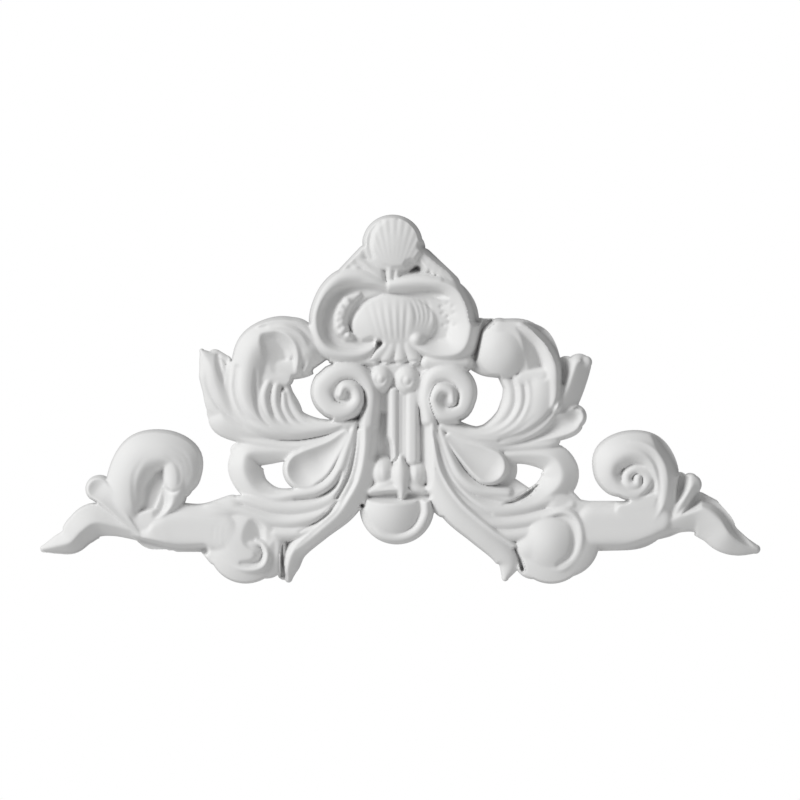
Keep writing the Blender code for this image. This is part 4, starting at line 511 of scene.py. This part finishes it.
def rightRolledLeaf(r):
    # stem that rises into the big curl
    r.band([(22, -13, 2, 13), (36, -18, 4, 13.5), (52, -17, 6, 14), (66, -9, 8.5, 15), (71, 1, 9, 16),
        (72.5, 12, 7.6, 16.5), (70, 22, 8, 17), (62, 30.5, 9, 17.5), (50, 34.5, 6, 17.5)], steep=0.4, cap=3)
    # ball of the curl, the socket beside it and the rim round both
    r.dome(51.6, 25, 12.8, 13.8, 19.5, 6, power=2.4)
    r.fill([(62, 31, 5, 16), (66, 24, 7, 15), (66.5, 16, 6.6, 14), (66, 10, 6, 13.6)])
    r.pocket([(55.5, 37.2, 0.2, 17.8), (61.4, 33.2, 1.4, 15.6), (65.4, 28.2, 3.4, 13.2),
        (67.2, 23.4, 5, 11.8), (67.2, 19.2, 5.4, 11.4)], wall=1.6, tilt=0.8)
    r.band([(62, 10.4, 3.2, 14.2), (66, 11.4, 3.2, 14.8), (71, 10.6, 4.2, 15.6)], steep=0.15)
    r.band([(77.2, -3, 3, 16.5), (76.6, 9, 3.6, 17.2), (76, 20, 4.2, 17.5), (70.6, 30.5, 4.8, 17.5),
        (60.5, 35.8, 4, 17)], steep=0.8, lean=-0.3, cap=5)
    # black recess beside the ball and the steep outer wall of the curl
    r.pocket([(46, 39.6, 0.4, 4), (42, 37.6, 1.5, 4), (39.4, 34, 1.5, 4), (38.4, 27, 0.9, 4),
        (38, 20, 0.4, 6)], wall=7)
    r.pocket([(60, 39.8, 0.1, 15), (70, 35.8, 0.8, 5), (76.6, 29.5, 1, 4), (81.4, 21, 1.2, 4),
        (82.6, 14.5, 0.8, 5), (82, 8, 0.3, 8)], wall=4)
    r.pocket([(93, -3.4, 0.4, 6), (88, -4.4, 0.3, 9)])


def rightLeaflets(r):
    # leaflets that sweep back along the stem
    r.band([(52, 12.5, 2.4, 12), (55.5, 5, 3, 12.5), (55, -3, 3.6, 12.5), (50, -11, 3.6, 12.5),
        (41, -16.5, 2.6, 12.5), (33, -16, 2.6, 12.5)])
    r.band([(57.5, 12, 1.2, 13.4), (60.5, 5, 2.4, 14.6), (60, -4, 2.4, 14.6), (54.6, -12, 1.8, 14.3),
        (45, -17, 1, 14), (35, -18, 0.4, 13.5)], steep=0.9)
    r.band([(62.5, 12, 1.2, 14), (65, 5, 2.2, 15.2), (64.4, -3, 2.2, 15.2), (59.4, -12, 1.6, 14.8),
        (50, -18, 1.1, 14.2), (39, -19.6, 0.4, 13.6)], steep=0.9)
    r.groove([(80.6, 12, 0.8, 1), (79.6, 2, 1.1, 1.5), (74.4, -8, 1.3, 1.6), (64, -16, 1.2, 1.2),
        (50, -20.5, 1, 1)])
    r.band([(26, -17, 1.5, 12), (40, -22.5, 2.4, 12), (56, -24, 2.6, 11), (72, -22.5, 2.8, 10.5),
        (78, -20.5, 2.2, 10)], steep=0.6)


def rightLoop(r):
    # loop round the open eye, and the spoon
    r.band([(54, -28, 3.6, 11), (65, -27.8, 4.6, 11), (76, -29.4, 7.4, 11.5), (80, -35.5, 9.2, 12),
        (79.4, -41.5, 8.6, 12), (73, -48, 7, 12), (64, -51, 5.6, 12), (52, -49, 3.4, 12.5),
        (40, -46, 3, 13)], lean=0.1, power=1.3, cap=5)
    r.fill([(32, -25, 4, 8), (41, -31, 8, 8), (47, -34.8, 11.6, 8)])
    r.band([(25, -19, 2, 13), (31.5, -24.6, 5, 13.5), (39.5, -30, 8.6, 14), (44.6, -33.4, 9.8, 14.4)],
        dip=0.6, rim=0.8, steep=0.45, cap=4.5, solid=False)
    r.band([(20, -14, 1.2, 13), (25, -28, 2.2, 14), (31, -39, 2.8, 14.5), (41, -45.5, 2.8, 14),
        (54, -47, 2.4, 13)], steep=0.8)
    r.groove([(30, -17.5, 0.5, 0.2), (42, -21, 0.8, 0.5), (56, -20.5, 0.9, 0.6), (70, -14, 0.8, 0.5),
        (78, -6, 0.5, 0.2)])
    r.groove([(30, -15.5, 0.5, 0.2), (44, -19.2, 0.7, 0.4), (58, -16, 0.8, 0.5), (68, -8, 0.6, 0.2)])


def rightFan(r):
    # fan of ribs above the blade
    r.band([(19, -18, 1.4, 13), (24, -36, 2.8, 14), (33, -49, 3.8, 14.5), (46, -55, 4.2, 14),
        (62, -54, 3.6, 13), (76, -49.5, 3, 12)], steep=0.6)
    r.band([(22, -34, 1.6, 13), (31, -51, 3, 14), (46, -61, 3.8, 14), (62, -61, 3.6, 13.5),
        (76, -57, 3, 13), (86, -53, 2.4, 12)])
    r.band([(46, -66, 1.4, 13), (58, -67.5, 3.2, 13.5), (70, -65, 3, 13)], steep=0.6)


def rightBlade(r):
    # blade with its fine ridge, and the grooves between the ribs
    r.band([(15, -6, 2.6, 14.5), (16.4, -26, 4, 15), (19.7, -42, 6.4, 15.5), (27.8, -55, 7, 16),
        (40, -66, 6.4, 15), (50.5, -75, 6, 13), (54.7, -81.5, 5.4, 11), (53, -89.4, 1.3, 7)], steep=0.5,
        lean=0.1, cap=4)
    r.band([(17, -20, 0.7, 15.5), (20.5, -36, 0.9, 16), (30, -51, 1.2, 16.5), (44, -63.5, 1.2, 15.5),
        (57, -73, 1, 13)], steep=1, solid=False)
    r.groove([(17.5, -16, 0.7, 0.8), (20.5, -28, 0.9, 1.2), (26, -40, 1.1, 1.5), (35, -50, 1, 1.2),
        (46, -57, 0.8, 0.8)])
    r.groove([(51.5, -52.6, 0.5, 1), (58, -50.6, 1.2, 3.5), (64, -47.4, 1.4, 5), (69.5, -42.8, 0.7, 2.5)])
    r.groove([(57.5, -74, 0.7, 2), (60, -80, 1.2, 5), (61.5, -85, 1.2, 7)])


def flutedStem(r):
    # stem: two recesses and three reeds
    r.pocket([(-8.2, 2, 2.6, 8), (-8.2, -20, 2.8, 6.5), (-8.2, -28, 3, 4.5)], wall=2.5)
    r.pocket([(11, -4, 1, 9), (11.6, -42, 1.2, 9)], wall=1.5)
    r.band([(-3, 4, 2, 13), (-2.9, -28, 2, 13)], steep=0.6, power=5)
    r.band([(6.4, 2, 2.8, 13), (6.4, -30, 3, 13)], steep=0.6, power=5)
    r.band([(1.4, 3, 2.2, 11.6), (1.4, -28, 2.2, 11.6)], steep=0.4, power=4)
    r.groove([(1.4, 2, 0.5, 0.8), (1.4, -27, 0.5, 0.8)])
    r.pocket([(-7.4, -16, 0.3, 7), (-7.2, -22.5, 1.6, 4.4), (-7.2, -30, 2, 3.6)], wall=4)


def pendant(r):
    # pendant: boss, rim, inner dome and the shadow line over it
    r.fill([(-14, -52, 3.6, 6), (15, -52, 3.6, 6)])
    r.dome(-1.3, -54.3, 18.2, 17.9, 12.5, 3.5)
    r.band([(-15, -55, 2.4, 13), (-9.5, -66, 2.4, 13), (-1, -69, 2.2, 13), (8, -66, 2.4, 13.5),
        (13, -58, 2.2, 14), (13.2, -50, 1.6, 14)], steep=0.6, solid=False)
    r.dome(-3.5, -54.5, 12.8, 12.6, 17, 4.5, solid=False)
    r.pocket([(-15, -48.3, 0.7, 8), (14, -48.3, 0.7, 8)])
    r.pocket([(-18.7, -53.2, 0.3, 4)], wall=7)


def husk(r):
    # husk: two leaves and a bud
    r.band([(-14.5, -46, 1.4, 12.6), (-9, -44, 2.6, 13.4), (-3.6, -40.6, 1.8, 12.8)], steep=0.6)
    r.band([(12, -45.6, 1.4, 12.4), (8.4, -44, 2.2, 13), (4, -41, 1.6, 12.6)], steep=0.6)
    r.dome(-8.4, -36.8, 5.2, 6.4, 14.2, 3.4)
    r.groove([(-9.4, -31.5, 0.5, 0.1), (-9.8, -36.6, 0.7, 0.5), (-8.4, -41.6, 0.5, 0.1)])
    r.dome(8.6, -37.6, 4.6, 6.2, 14, 3.4)
    r.groove([(9.4, -32.6, 0.5, 0.1), (9.8, -37.4, 0.7, 0.5), (8.6, -42, 0.5, 0.1)])
    r.pocket([(13, -42.4, 0.4, 8)], wall=4)
    r.band([(0.6, -29, 1, 13), (0.6, -37, 4.2, 16), (1.2, -45.5, 2.2, 15), (1.3, -48.5, 0.8, 14)])


def leftVolute(r):
    # left volute
    r.dome(-29.8, 4, 14.4, 13.9, 14.5, 2)
    r.band([(-16, -12, 3.8, 15), (-14.4, 3, 3.2, 15.5), (-20, 12.5, 4, 16), (-30, 13, 4.6, 16.5),
        (-38.3, 5, 5.4, 17), (-34.5, -4, 5, 17.5), (-26, -5.5, 3.8, 18), (-20.8, -0.5, 3, 18.2),
        (-22.5, 5.5, 2.4, 18.4), (-27.5, 6.5, 2, 18.4), (-29.5, 2.5, 1.5, 18.4)], steep=0.75, cap=2.4,
        power=2.6, per=6)
    r.groove([(-17.8, 4, 0.7, 1.2), (-17.3, -3, 1, 3), (-20.5, -8.8, 1.1, 3), (-27, -10.2, 0.7, 1.2)])


def rightVolute(r):
    # right volute
    r.dome(23.4, 3.6, 15.2, 14.6, 14.5, 2)
    r.band([(14.8, -10, 3.2, 15), (13.6, 2, 3.2, 15.5), (17, 11, 4, 16), (26, 12.5, 4.6, 16.5),
        (33, 5, 5, 17), (31, -5, 4.4, 17.5), (22, -7.5, 3.6, 18), (17, -1, 3, 18.2), (20, 5, 2.6, 18.4),
        (25.5, 4, 2, 18.4), (26.5, -1, 1.4, 18.4)], steep=0.75, cap=2.4, power=2.6, per=6)
    r.groove([(9.6, 3, 0.5, 0.3), (12, 12, 0.8, 0.7), (20, 17, 0.8, 0.7), (30, 15.5, 0.6, 0.4)])


def topShell(r):
    # shoulders, and the top shell with its edge groove
    r.band([(-26.5, 59.5, 6.4, 12), (-16.5, 72.5, 4.7, 12)], steep=0.3)
    r.band([(24, 57, 6.2, 12), (11, 70, 5.8, 12)], steep=0.3)
    r.band([(-30, 61, 5.6, 14), (-22.5, 69, 5.2, 14.6), (-16, 76.5, 4, 14.8)], steep=0.5, power=2.4,
        solid=False)
    r.band([(27, 59.5, 5, 14), (17, 68, 4.6, 14.4), (10.5, 74, 3, 14.6)], steep=0.5, power=2.4, solid=False)
    r.dome(-3.5, 78.3, 14.6, 13.9, 17.6, 2.6)
    r.dome(-1.6, 78.6, 12.8, 12.2, 18.6, 1.6,
        ribs={"x": -3, "z": 56, "spread": 24, "count": 7, "depth": 0.42}, solid=False)
    r.dome(9, 76, 3.5, 5, 12, 2)
    r.dome(-15, 79, 3.2, 5, 13, 2)
    r.groove([(-13.6, 70.5, 1.1, 0.6), (-14.6, 77.5, 1.3, 1.1), (-12.8, 84.5, 1.1, 0.9),
        (-8.6, 88.6, 0.8, 0.5)])
    r.groove([(-0.5, 92, 0.9, 1.6), (-0.5, 89.8, 0.6, 0.8)])
    r.groove([(-9.2, 91, 0.7, 0.8), (-8.6, 88.4, 0.5, 0.4)])


def shellFoot(r):
    # ridge below the shell, with two reeds, and the leaf tuft at its left
    r.band([(-3, 62, 6, 13), (-3, 72, 8, 15)], steep=0.3)
    r.band([(-4.5, 82, 0.5, 18.3), (-4.6, 70, 1.3, 16.8), (-4.8, 60, 1.5, 14.8)], steep=0.5)
    r.band([(-0.6, 74, 0.6, 17.4), (-1, 67, 1.2, 15.4), (-1.6, 60, 1.3, 14.4)], steep=0.5)
    r.band([(-21, 69.5, 2, 15.2), (-15.5, 66.4, 3.4, 15.8), (-11, 62.8, 3.2, 15.8), (-8.8, 59.6, 1.6, 15)])
    for k in range(3):
        r.groove([(-20 + 2.4 * k, 70.6 - 0.4 * k, 0.5, 0.2), (-15.6 + 2.2 * k, 67.8 - 1.4 * k, 0.7, 0.6),
            (-12.6 + 1.6 * k, 63.6 - 1.4 * k, 0.5, 0.2)])
    leafTips = [(-19.5, 73, 2.6, 2.8), (-23.4, 69.6, 2.8, 2.4), (-27.4, 66.4, 2.8, 2.2),
        (-21.8, 65.4, 2.4, 1.8)]
    for x, z, rx, rz in leafTips:
        r.dome(x, z, rx, rz, 15.4, 1.2, solid=False)
    for x in (12.5, 15.6, 18.7, 21.8):
        r.band([(x - 1.6, 70.2 - 0.62 * (x - 12), 0.9, 14.6), (x + 1.6, 65.6 - 0.62 * (x - 12), 1.1, 14.6)],
            steep=0.6, solid=False)


def screwHole(r):
    # screw hole in its shallow socket
    r.pocket([(6.2, 65.6, 3, 13.2)], wall=2.4)
    r.pocket([(7.6, 63.4, 1.7, 4), (8.6, 65, 1, 4)], wall=6)


def lowerShell(r):
    # lower shell with its flutes, and the ribbed neck
    r.dome(-3.4, 38.5, 21, 13.5, 17, 4.6)
    for x, deep in ((-14.5, 0.2), (-11, 0.3), (-7.4, 0.4), (-3.6, 0.45), (0, 0.5), (3.4, 0.6)):
        r.groove([(x * 1.15, 50.5, 0.7, 0.1), (x, 42, 1.3, deep), (x * 0.75, 31, 1, deep)])
    for k in range(4):
        r.groove([(4.6 + 2.6 * k, 51, 0.6, 0.1), (7.2 + 2.4 * k, 46.4, 1.1, 0.9),
            (8.4 + 2.2 * k, 40.6, 1.1, 0.9), (7.2 + 1.8 * k, 34, 0.6, 0.1)])
    r.fill([(-2, 28, 8, 12), (-2.5, 22, 11.5, 12)])
    for top, foot in ((-8, -13), (-4, -6.5), (0.3, 0.5), (4.8, 7.4)):
        r.band([(top, 32, 1.8, 14.6), (top * 0.9, 27, 2, 14.4), (foot, 20.6, 2.8, 14)], steep=0.35)
    r.groove([(-14, 19.2, 0.7, 1.2), (-2, 18.4, 0.8, 1.6), (10, 19.2, 0.7, 1.2)])


def buds(r):
    # two buds, each with a small whorl
    for x, z, rx, rz in ((-9.3, 10.5, 5.2, 6.2), (3.8, 9.6, 5.8, 6.6)):
        r.dome(x, z, rx, rz, 15.5, 3.2, power=3)
        r.groove([(x - 1.8, z + 1.8, 0.6, 0.6), (x - 2.2, z - 1.2, 0.7, 1.1), (x + 0.4, z - 2.6, 0.7, 1.1),
            (x + 2.2, z - 0.6, 0.6, 0.7)])
        r.dome(x + 0.2, z + 0.4, 1.5, 1.5, 16.2, 0.9, solid=False)


def strapFloor(r):
    # floor inside the straps, beaded strip at the left, pitted slope at the right
    r.fill([(-5, 55.5, 1.2, 12), (-14, 59, 3.6, 12), (-23, 59.8, 5, 12), (-31.5, 56, 5.4, 12),
        (-36.5, 48.5, 6.2, 11), (-38.6, 39.5, 6.2, 11), (-35.5, 29.5, 6.4, 11), (-26, 25.5, 5.4, 11),
        (-16, 25.5, 3.8, 11), (-10.5, 28, 1.4, 11)])
    r.band([(-20.5, 52.4, 1, 13.5), (-26, 48.4, 2.6, 14.4), (-29.2, 42, 3, 14.8), (-29.4, 35.5, 2.8, 14.6),
        (-26.6, 31, 1.4, 13.5)], steep=0.5, power=2.6, solid=False)
    for k in range(12):
        t = k / 11
        r.dome(-25 - 18 * t * (1 - t) - 1.6 * t + (1.1 if k % 2 else -1.1), 49.5 - 17.5 * t, 1.7, 1.4, 15.5,
            1, solid=False)


def straps(r):
    # the two straps that meet over the shell
    r.band([(-5.2, 55.6, 1.4, 15), (-12, 58.6, 3.4, 16.6), (-20, 61.4, 4.4, 17.2), (-28.5, 60.4, 4.6, 17.4),
        (-35.2, 55.2, 4.2, 17.6), (-39.4, 47.5, 4, 17.6), (-41.4, 40, 3.6, 17.4), (-40.2, 31.5, 3.4, 17),
        (-35.6, 25.2, 3.4, 16.6), (-27, 22.6, 3, 16.2), (-18.5, 23, 2.6, 15.6), (-12.6, 26.2, 1.6, 14.6),
        (-10.6, 29.4, 0.8, 14)], steep=0.8, lean=-0.1, cap=4)
    r.band([(-5, 55.5, 1.2, 16), (5, 56.8, 3.2, 17), (15, 57, 4.2, 18), (24.5, 54, 6.4, 18),
        (30.8, 46, 7.2, 18), (32.4, 36, 7, 17.5), (29, 26.5, 7.2, 17), (20, 24, 5.2, 16),
        (12.5, 26, 4.2, 15.5), (8, 28, 2.8, 15)], steep=0.95, lean=0.42, power=1.3)
    r.band([(-4.6, 57.2, 1.4, 16.4), (3, 58.2, 2.6, 17.2), (12, 59, 2.6, 17.6), (20, 58.4, 2, 17.8)],
        steep=0.5, solid=False)
    r.pocket([(-1, 52.8, 0.3, 13.5), (6, 52.4, 1, 11.8), (14, 52.4, 1.6, 11.4), (20, 52, 1.2, 12),
        (24, 51, 0.4, 14)], wall=2.6)
    r.pocket([(-7, 54, 0.3, 12.5), (-14, 54.6, 0.7, 11), (-24, 54.6, 1, 10.8), (-31, 51, 1.6, 10.6),
        (-35.4, 43, 2, 10.5), (-35.2, 34, 2, 10.5), (-31, 28.6, 1.6, 10.8), (-22, 27.2, 1.4, 10.8),
        (-14, 29, 1, 11)], wall=2.2)
    r.groove([(-9, 52.6, 0.6, 0.6), (-16, 49.4, 1.2, 1.8), (-21.6, 44.4, 1.4, 2.4), (-24.4, 38, 1.4, 2.2),
        (-23.6, 31.6, 0.9, 1.2)])
    for k in range(9):
        r.groove([(22 + 2.8 * (k % 3) - 0.6 * (k // 3), 37 + 4.6 * (k // 3) + 1.4 * (k % 2), 1.1, 0.9),
            (22.9 + 2.8 * (k % 3) - 0.6 * (k // 3), 38 + 4.6 * (k // 3) + 1.4 * (k % 2), 0.9, 0.3)])


def strapEnds(r):
    # rolled ends of the straps, dark nook under the left one, ledges below
    r.dome(8.6, 30.2, 3.6, 3.4, 17, 2.6, solid=False)
    r.pocket([(-10.1, 27.9, 0.7, 7), (-12.2, 24.4, 0.1, 12), (-14.8, 20, 0.1, 12.5)], wall=5)
    r.band([(-34, 20.5, 2, 12), (-24, 20, 2.4, 13), (-15, 19.5, 2, 13)], steep=0.5)
    r.band([(33, 19, 3, 13), (24, 18.5, 3, 14), (14, 18.5, 3, 14)], steep=0.5)


def crownWall(r):
    # steep outer wall down the right of the crown
    r.pocket([(12.6, 76.4, 0.3, 4.5), (20, 70.4, 0.5, 4.5), (27.5, 64.6, 0.9, 4.5), (34.4, 55.5, 1.5, 4.5),
        (38, 47, 1.4, 4.5), (39.4, 40, 1.2, 4)], wall=4)


def openings(r):
    # openings between the forms
    r.hole([(-36.5, 18.6, 1.6), (-42, 14.2, 2)])


forms = [stemGround, leftGround, leftWingGround, rightGround, leftWing, leftWingFoot, rightWing,
         rightWingFoot, wingWalls, leftLowerCurl, rightLowerCurl, leftTipLeaf, leftRolledLeaf, leftLeaflets,
         leftLoop, leftFan, leftBlade, rightTipLeaf, rightRolledLeaf, rightLeaflets, rightLoop, rightFan,
         rightBlade, flutedStem, pendant, husk, leftVolute, rightVolute, topShell, shellFoot, screwHole,
         lowerShell, buds, strapFloor, straps, strapEnds, crownWall, openings]
relief = Relief(casting["grid"])
for carve in forms:
    carve(relief)
    print("carved", carve.__name__)
surface = relief.drafted()


def castingMesh(name, relief, surface):
    # front and back points over the grid cells whose middle is inside the outline, and walls between them;
    # points at the border slide on to the outline along the slope of the inside field
    grid = relief.grid
    field = relief.inside
    keep = (field[:-1, :-1] + field[1:, :-1] + field[:-1, 1:] + field[1:, 1:]) > 0
    crossings = True
    while crossings:  # cells that meet only at a corner get a neighbour
        a, b, c, d = keep[:-1, :-1], keep[:-1, 1:], keep[1:, :-1], keep[1:, 1:]
        down = a & d & ~b & ~c
        up = b & c & ~a & ~d
        crossings = down.any() or up.any()
        keep[:-1, 1:] |= down
        keep[:-1, :-1] |= up
    leastSlope, mostSlide = 0.25, 0.8 * grid
    slopeZ, slopeX = np.gradient(field, grid)
    steep = np.maximum(slopeX ** 2 + slopeZ ** 2, leastSlope)
    count = np.zeros(field.shape, int)
    for j in (0, 1):
        for i in (0, 1):
            count[j:j + keep.shape[0], i:i + keep.shape[1]] += keep
    edge = (count > 0) & (count < 4)
    slide = np.clip(field / steep, -mostSlide, mostSlide) * edge
    surface = np.where(edge, np.minimum(surface, casting["land"]), surface)
    used = count > 0
    total = int(used.sum())
    number = np.full(field.shape, -1)
    number[used] = np.arange(total)
    x, z = relief.gridX - slide * slopeX, relief.gridZ - slide * slopeZ
    front = np.stack([x[used], -surface[used], z[used]], 1)
    back = front * np.array([1, 0, 1])
    around = (number[:-1, :-1], number[:-1, 1:], number[1:, 1:], number[1:, :-1])
    corner = np.stack([one[keep] for one in around], 1)
    sides = np.concatenate([corner[:, [k, (k + 1) % 4]] for k in range(4)])
    lone = ~np.isin(sides[:, 1] * total + sides[:, 0], sides[:, 0] * total + sides[:, 1])
    border = sides[lone]
    walls = np.stack([border[:, 1], border[:, 0], border[:, 0] + total, border[:, 1] + total], 1)
    faces = np.concatenate([corner, corner[:, ::-1] + total, walls]).astype(np.int32)
    points = np.concatenate([front, back]) * mm
    perFace = faces.shape[1]
    mesh = bpy.data.meshes.new(name)
    mesh.vertices.add(len(points))
    mesh.vertices.foreach_set("co", points.astype(np.float32).ravel())
    mesh.loops.add(faces.size)
    mesh.loops.foreach_set("vertex_index", faces.ravel())
    mesh.polygons.add(len(faces))
    mesh.polygons.foreach_set("loop_start", np.arange(0, faces.size, perFace, dtype=np.int32))
    mesh.update(calc_edges=True)
    # how far each place lies below its surroundings, stored for the primer: it greys the hollows as painted
    # shade and makes them a little rougher
    lower = blurred(surface, casting["hollowReach"], grid) - surface
    hollow = np.clip(lower / casting["hollowDepth"], -1, 1)
    values = np.concatenate([hollow[used], np.zeros(total)]).astype(np.float32)
    mesh.attributes.new("hollow", "FLOAT", "POINT").data.foreach_set("value", values)
    return mesh


def thinned(piece, triangles):
    # the piece's mesh with no more than so many triangles
    mesh = piece.data
    now = 2 * len(mesh.polygons)
    if now <= triangles:
        return mesh
    thin = piece.modifiers.new("thin", "DECIMATE")
    thin.ratio = triangles / now
    thin.use_collapse_triangulate = True
    depsgraph = bpy.context.evaluated_depsgraph_get()
    thinner = bpy.data.meshes.new_from_object(piece.evaluated_get(depsgraph))
    piece.modifiers.clear()
    piece.data = thinner
    bpy.data.meshes.remove(mesh)
    thinner.name = piece.name
    return thinner


onlay = bpy.data.objects.new("carved_onlay", castingMesh("carved_onlay", relief, surface))
bpy.context.scene.collection.objects.link(onlay)
mesh = thinned(onlay, casting["triangles"])
places = np.zeros(len(mesh.vertices) * 3, np.float32)
mesh.vertices.foreach_get("co", places)
places = places.reshape(-1, 3)
flatBack = 0.3 * mm
places[places[:, 1] > -flatBack, 1] = 0  # what thinning moved at the back is flat again
mesh.vertices.foreach_set("co", places.ravel())
mesh.shade_smooth()
mesh.set_sharp_from_angle(angle=math.radians(casting["hardEdge"]))
mesh.update()
print("onlay", len(mesh.polygons), "faces")


class Wire:
    # a socket with arithmetic: each operator adds a Math node and gives back its output
    def __init__(self, tree, socket=None):
        self.tree = tree
        self.socket = socket

    def feed(self, target, value):
        if isinstance(value, Wire):
            self.tree.links.new(value.socket, target)
        else:
            target.default_value = value

    def make(self, kind, settings, values, output):
        # any other node: its settings first, then its socket values or links
        node = self.tree.nodes.new(kind)
        for name, value in settings.items():
            setattr(node, name, value)
        for name, value in values.items():
            self.feed(node.inputs[name], value)
        return Wire(self.tree, node.outputs[output])

    def maths(self, operation, other):
        return self.make("ShaderNodeMath", {"operation": operation}, {0: self, 1: other}, 0)

    def __add__(self, other):
        return self.maths("ADD", other)

    def __radd__(self, other):
        return self.maths("ADD", other)

    def __sub__(self, other):
        return self.maths("SUBTRACT", other)

    def __mul__(self, other):
        return self.maths("MULTIPLY", other)

    def atLeast(self, low):
        return self.maths("MAXIMUM", low)

    def atMost(self, high):
        return self.maths("MINIMUM", high)


# factory primer over the casting: nearly white and matt, with painted shade that greys it in the hollows,
# which are also a little rougher
primer = {
    "colour": (0.80, 0.80, 0.795, 1.0),
    "paintedShadeColour": (0.60, 0.60, 0.60, 1.0),
    # painted shade: the grey that the colour reaches in the deepest hollows
    "cloudColour": (0.75, 0.75, 0.76, 1.0),
    "paintedShadeRate": 1.2,      # how fast the painted shade greys the colour with the hollow
    "unevenness": 0.25,    # how much the clouds change that
    "clouds": 0.105,       # strength of the clouds on the colour
    "cloudScale": 45.0,    # clouds per metre
    "cloudDetail": 3.0,
    "cloudStart": 0.35,    # fainter clouds than this don't show
    "roughness": 0.62,
    "cloudRoughness": 0.12,
    "hollowRoughness": 0.1,
    "specular": 0.35,
    "grain": 0.10,         # strength of the bump
    "grainScale": 900.0,
    "grainDetail": 2.0,
    "grainHeight": 0.0004,
    "grainShare": 0.7,     # share of the grain in the bump, the rest is clouds
}


def primerMaterial(name, look):
    material = bpy.data.materials.new(name)
    material.use_nodes = True
    tree = material.node_tree
    shader = tree.nodes["Principled BSDF"].inputs
    middle = 0.5  # of a noise
    paint = Wire(tree)
    place = paint.make("ShaderNodeTexCoord", {}, {}, "Object")
    hollow = paint.make("ShaderNodeAttribute", {"attribute_name": "hollow"}, {}, "Fac")
    clouds = {"Vector": place, "Scale": look["cloudScale"], "Detail": look["cloudDetail"]}
    cloud = paint.make("ShaderNodeTexNoise", {}, clouds, "Fac")
    grains = {"Vector": place, "Scale": look["grainScale"], "Detail": look["grainDetail"]}
    grain = paint.make("ShaderNodeTexNoise", {}, grains, "Fac")
    # painted shade: the colour greys with the hollow, varied by the clouds; the same amount makes the
    # hollows rougher
    hollowShadeMask = (hollow * look["paintedShadeRate"] + (cloud - middle) * look["unevenness"]).atLeast(0.0).atMost(1.0)
    paintedShadeTones = {0: hollowShadeMask, 6: look["colour"], 7: look["paintedShadeColour"]}  # a colour mix of the primer and its painted shade: factor, A and B
    paintedShadeTone = paint.make("ShaderNodeMix", {"data_type": "RGBA"}, paintedShadeTones, 2)
    shades = {0: (cloud - look["cloudStart"]).atLeast(0.0) * look["clouds"], 6: paintedShadeTone, 7: look["cloudColour"]}
    shade = paint.make("ShaderNodeMix", {"data_type": "RGBA", "blend_type": "MULTIPLY"}, shades, 2)
    rough = look["roughness"] + (cloud - middle) * look["cloudRoughness"] + hollowShadeMask * look["hollowRoughness"]
    height = grain * look["grainShare"] + cloud * (1 - look["grainShare"])
    bumps = {"Height": height, "Strength": look["grain"], "Distance": look["grainHeight"]}
    paint.feed(shader["Base Color"], shade)
    paint.feed(shader["Roughness"], rough)
    paint.feed(shader["Normal"], paint.make("ShaderNodeBump", {}, bumps, "Normal"))
    shader["Specular IOR Level"].default_value = look["specular"]
    return material


mesh.materials.clear()
mesh.materials.append(primerMaterial("primed white", primer))
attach(onlay, "root")
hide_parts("onlay")
print("primer done")

# white studio: bright backdrop for the eye, softer fill for the surface, one broad key from the upper left
studio = {
    "backdrop": 1.0,
    "fill": 0.33,
    "key": 243.0,
    "keyPlace": (-4.05, -3.3, 2.4),
    "keySize": 2.7,
    "floorDrop": 0.36,
    "floorRadius": 0.9,
    "floorColour": (0.85, 0.85, 0.85, 1.0),
    "floorRoughness": 0.8,
}


def studioWorld(look):
    world = bpy.data.worlds.new("studio")
    bpy.context.scene.world = world
    world.use_nodes = True
    tree = world.node_tree
    backdrop = tree.nodes["Background"]
    ambient = tree.nodes.new("ShaderNodeBackground")
    for background, strength in ((backdrop, look["backdrop"]), (ambient, look["fill"])):
        background.inputs["Color"].default_value = (1, 1, 1, 1)
        background.inputs["Strength"].default_value = strength
    rays = tree.nodes.new("ShaderNodeLightPath")
    choose = tree.nodes.new("ShaderNodeMixShader")
    tree.links.new(rays.outputs["Is Camera Ray"], choose.inputs[0])
    tree.links.new(ambient.outputs[0], choose.inputs[1])
    tree.links.new(backdrop.outputs[0], choose.inputs[2])
    tree.links.new(choose.outputs[0], tree.nodes["World Output"].inputs["Surface"])


def aimed(name, data, place, target):
    # a light or camera at place, turned so that its -Z points at target
    thing = bpy.data.objects.new(name, data)
    bpy.context.scene.collection.objects.link(thing)
    thing.location = place
    away = np.array(target) - np.array(place)
    flat = math.hypot(away[0], away[1])
    thing.rotation_euler = (math.atan2(flat, -away[2]), 0, math.atan2(-away[0], away[1]))
    return thing


def paleFloor(look):
    bpy.ops.mesh.primitive_circle_add(vertices=96, radius=look["floorRadius"], fill_type="NGON",
                                      location=(0, 0, -look["floorDrop"]))
    floor = bpy.context.object
    floor.name = "floor"
    paint = bpy.data.materials.new("floor paint")
    paint.use_nodes = True
    paint.node_tree.nodes["Principled BSDF"].inputs["Base Color"].default_value = look["floorColour"]
    paint.node_tree.nodes["Principled BSDF"].inputs["Roughness"].default_value = look["floorRoughness"]
    floor.data.materials.append(paint)


studioWorld(studio)
keyLight = bpy.data.lights.new("key", "AREA")
keyLight.shape = "DISK"
keyLight.size = studio["keySize"]
keyLight.energy = studio["key"]
aimed("key", keyLight, studio["keyPlace"], (0, 0, 0))
paleFloor(studio)

# the photograph's view: straight on, half a millimetre to each of its 800 pixels, with the stem half a pixel
# from the middle each way
view = {"away": 1.81, "plane": 1.8, "width": 0.4, "x": 0.00025, "z": -0.00025}
camera = bpy.data.cameras.new("camera")
camera.sensor_width = 36
camera.lens = camera.sensor_width * view["plane"] / view["width"]
place = (view["x"], -view["away"], view["z"])
bpy.context.scene.camera = aimed("camera", camera, place, (view["x"], 0, view["z"]))
bpy.context.scene.view_settings.view_transform = "Standard"
print("studio done")
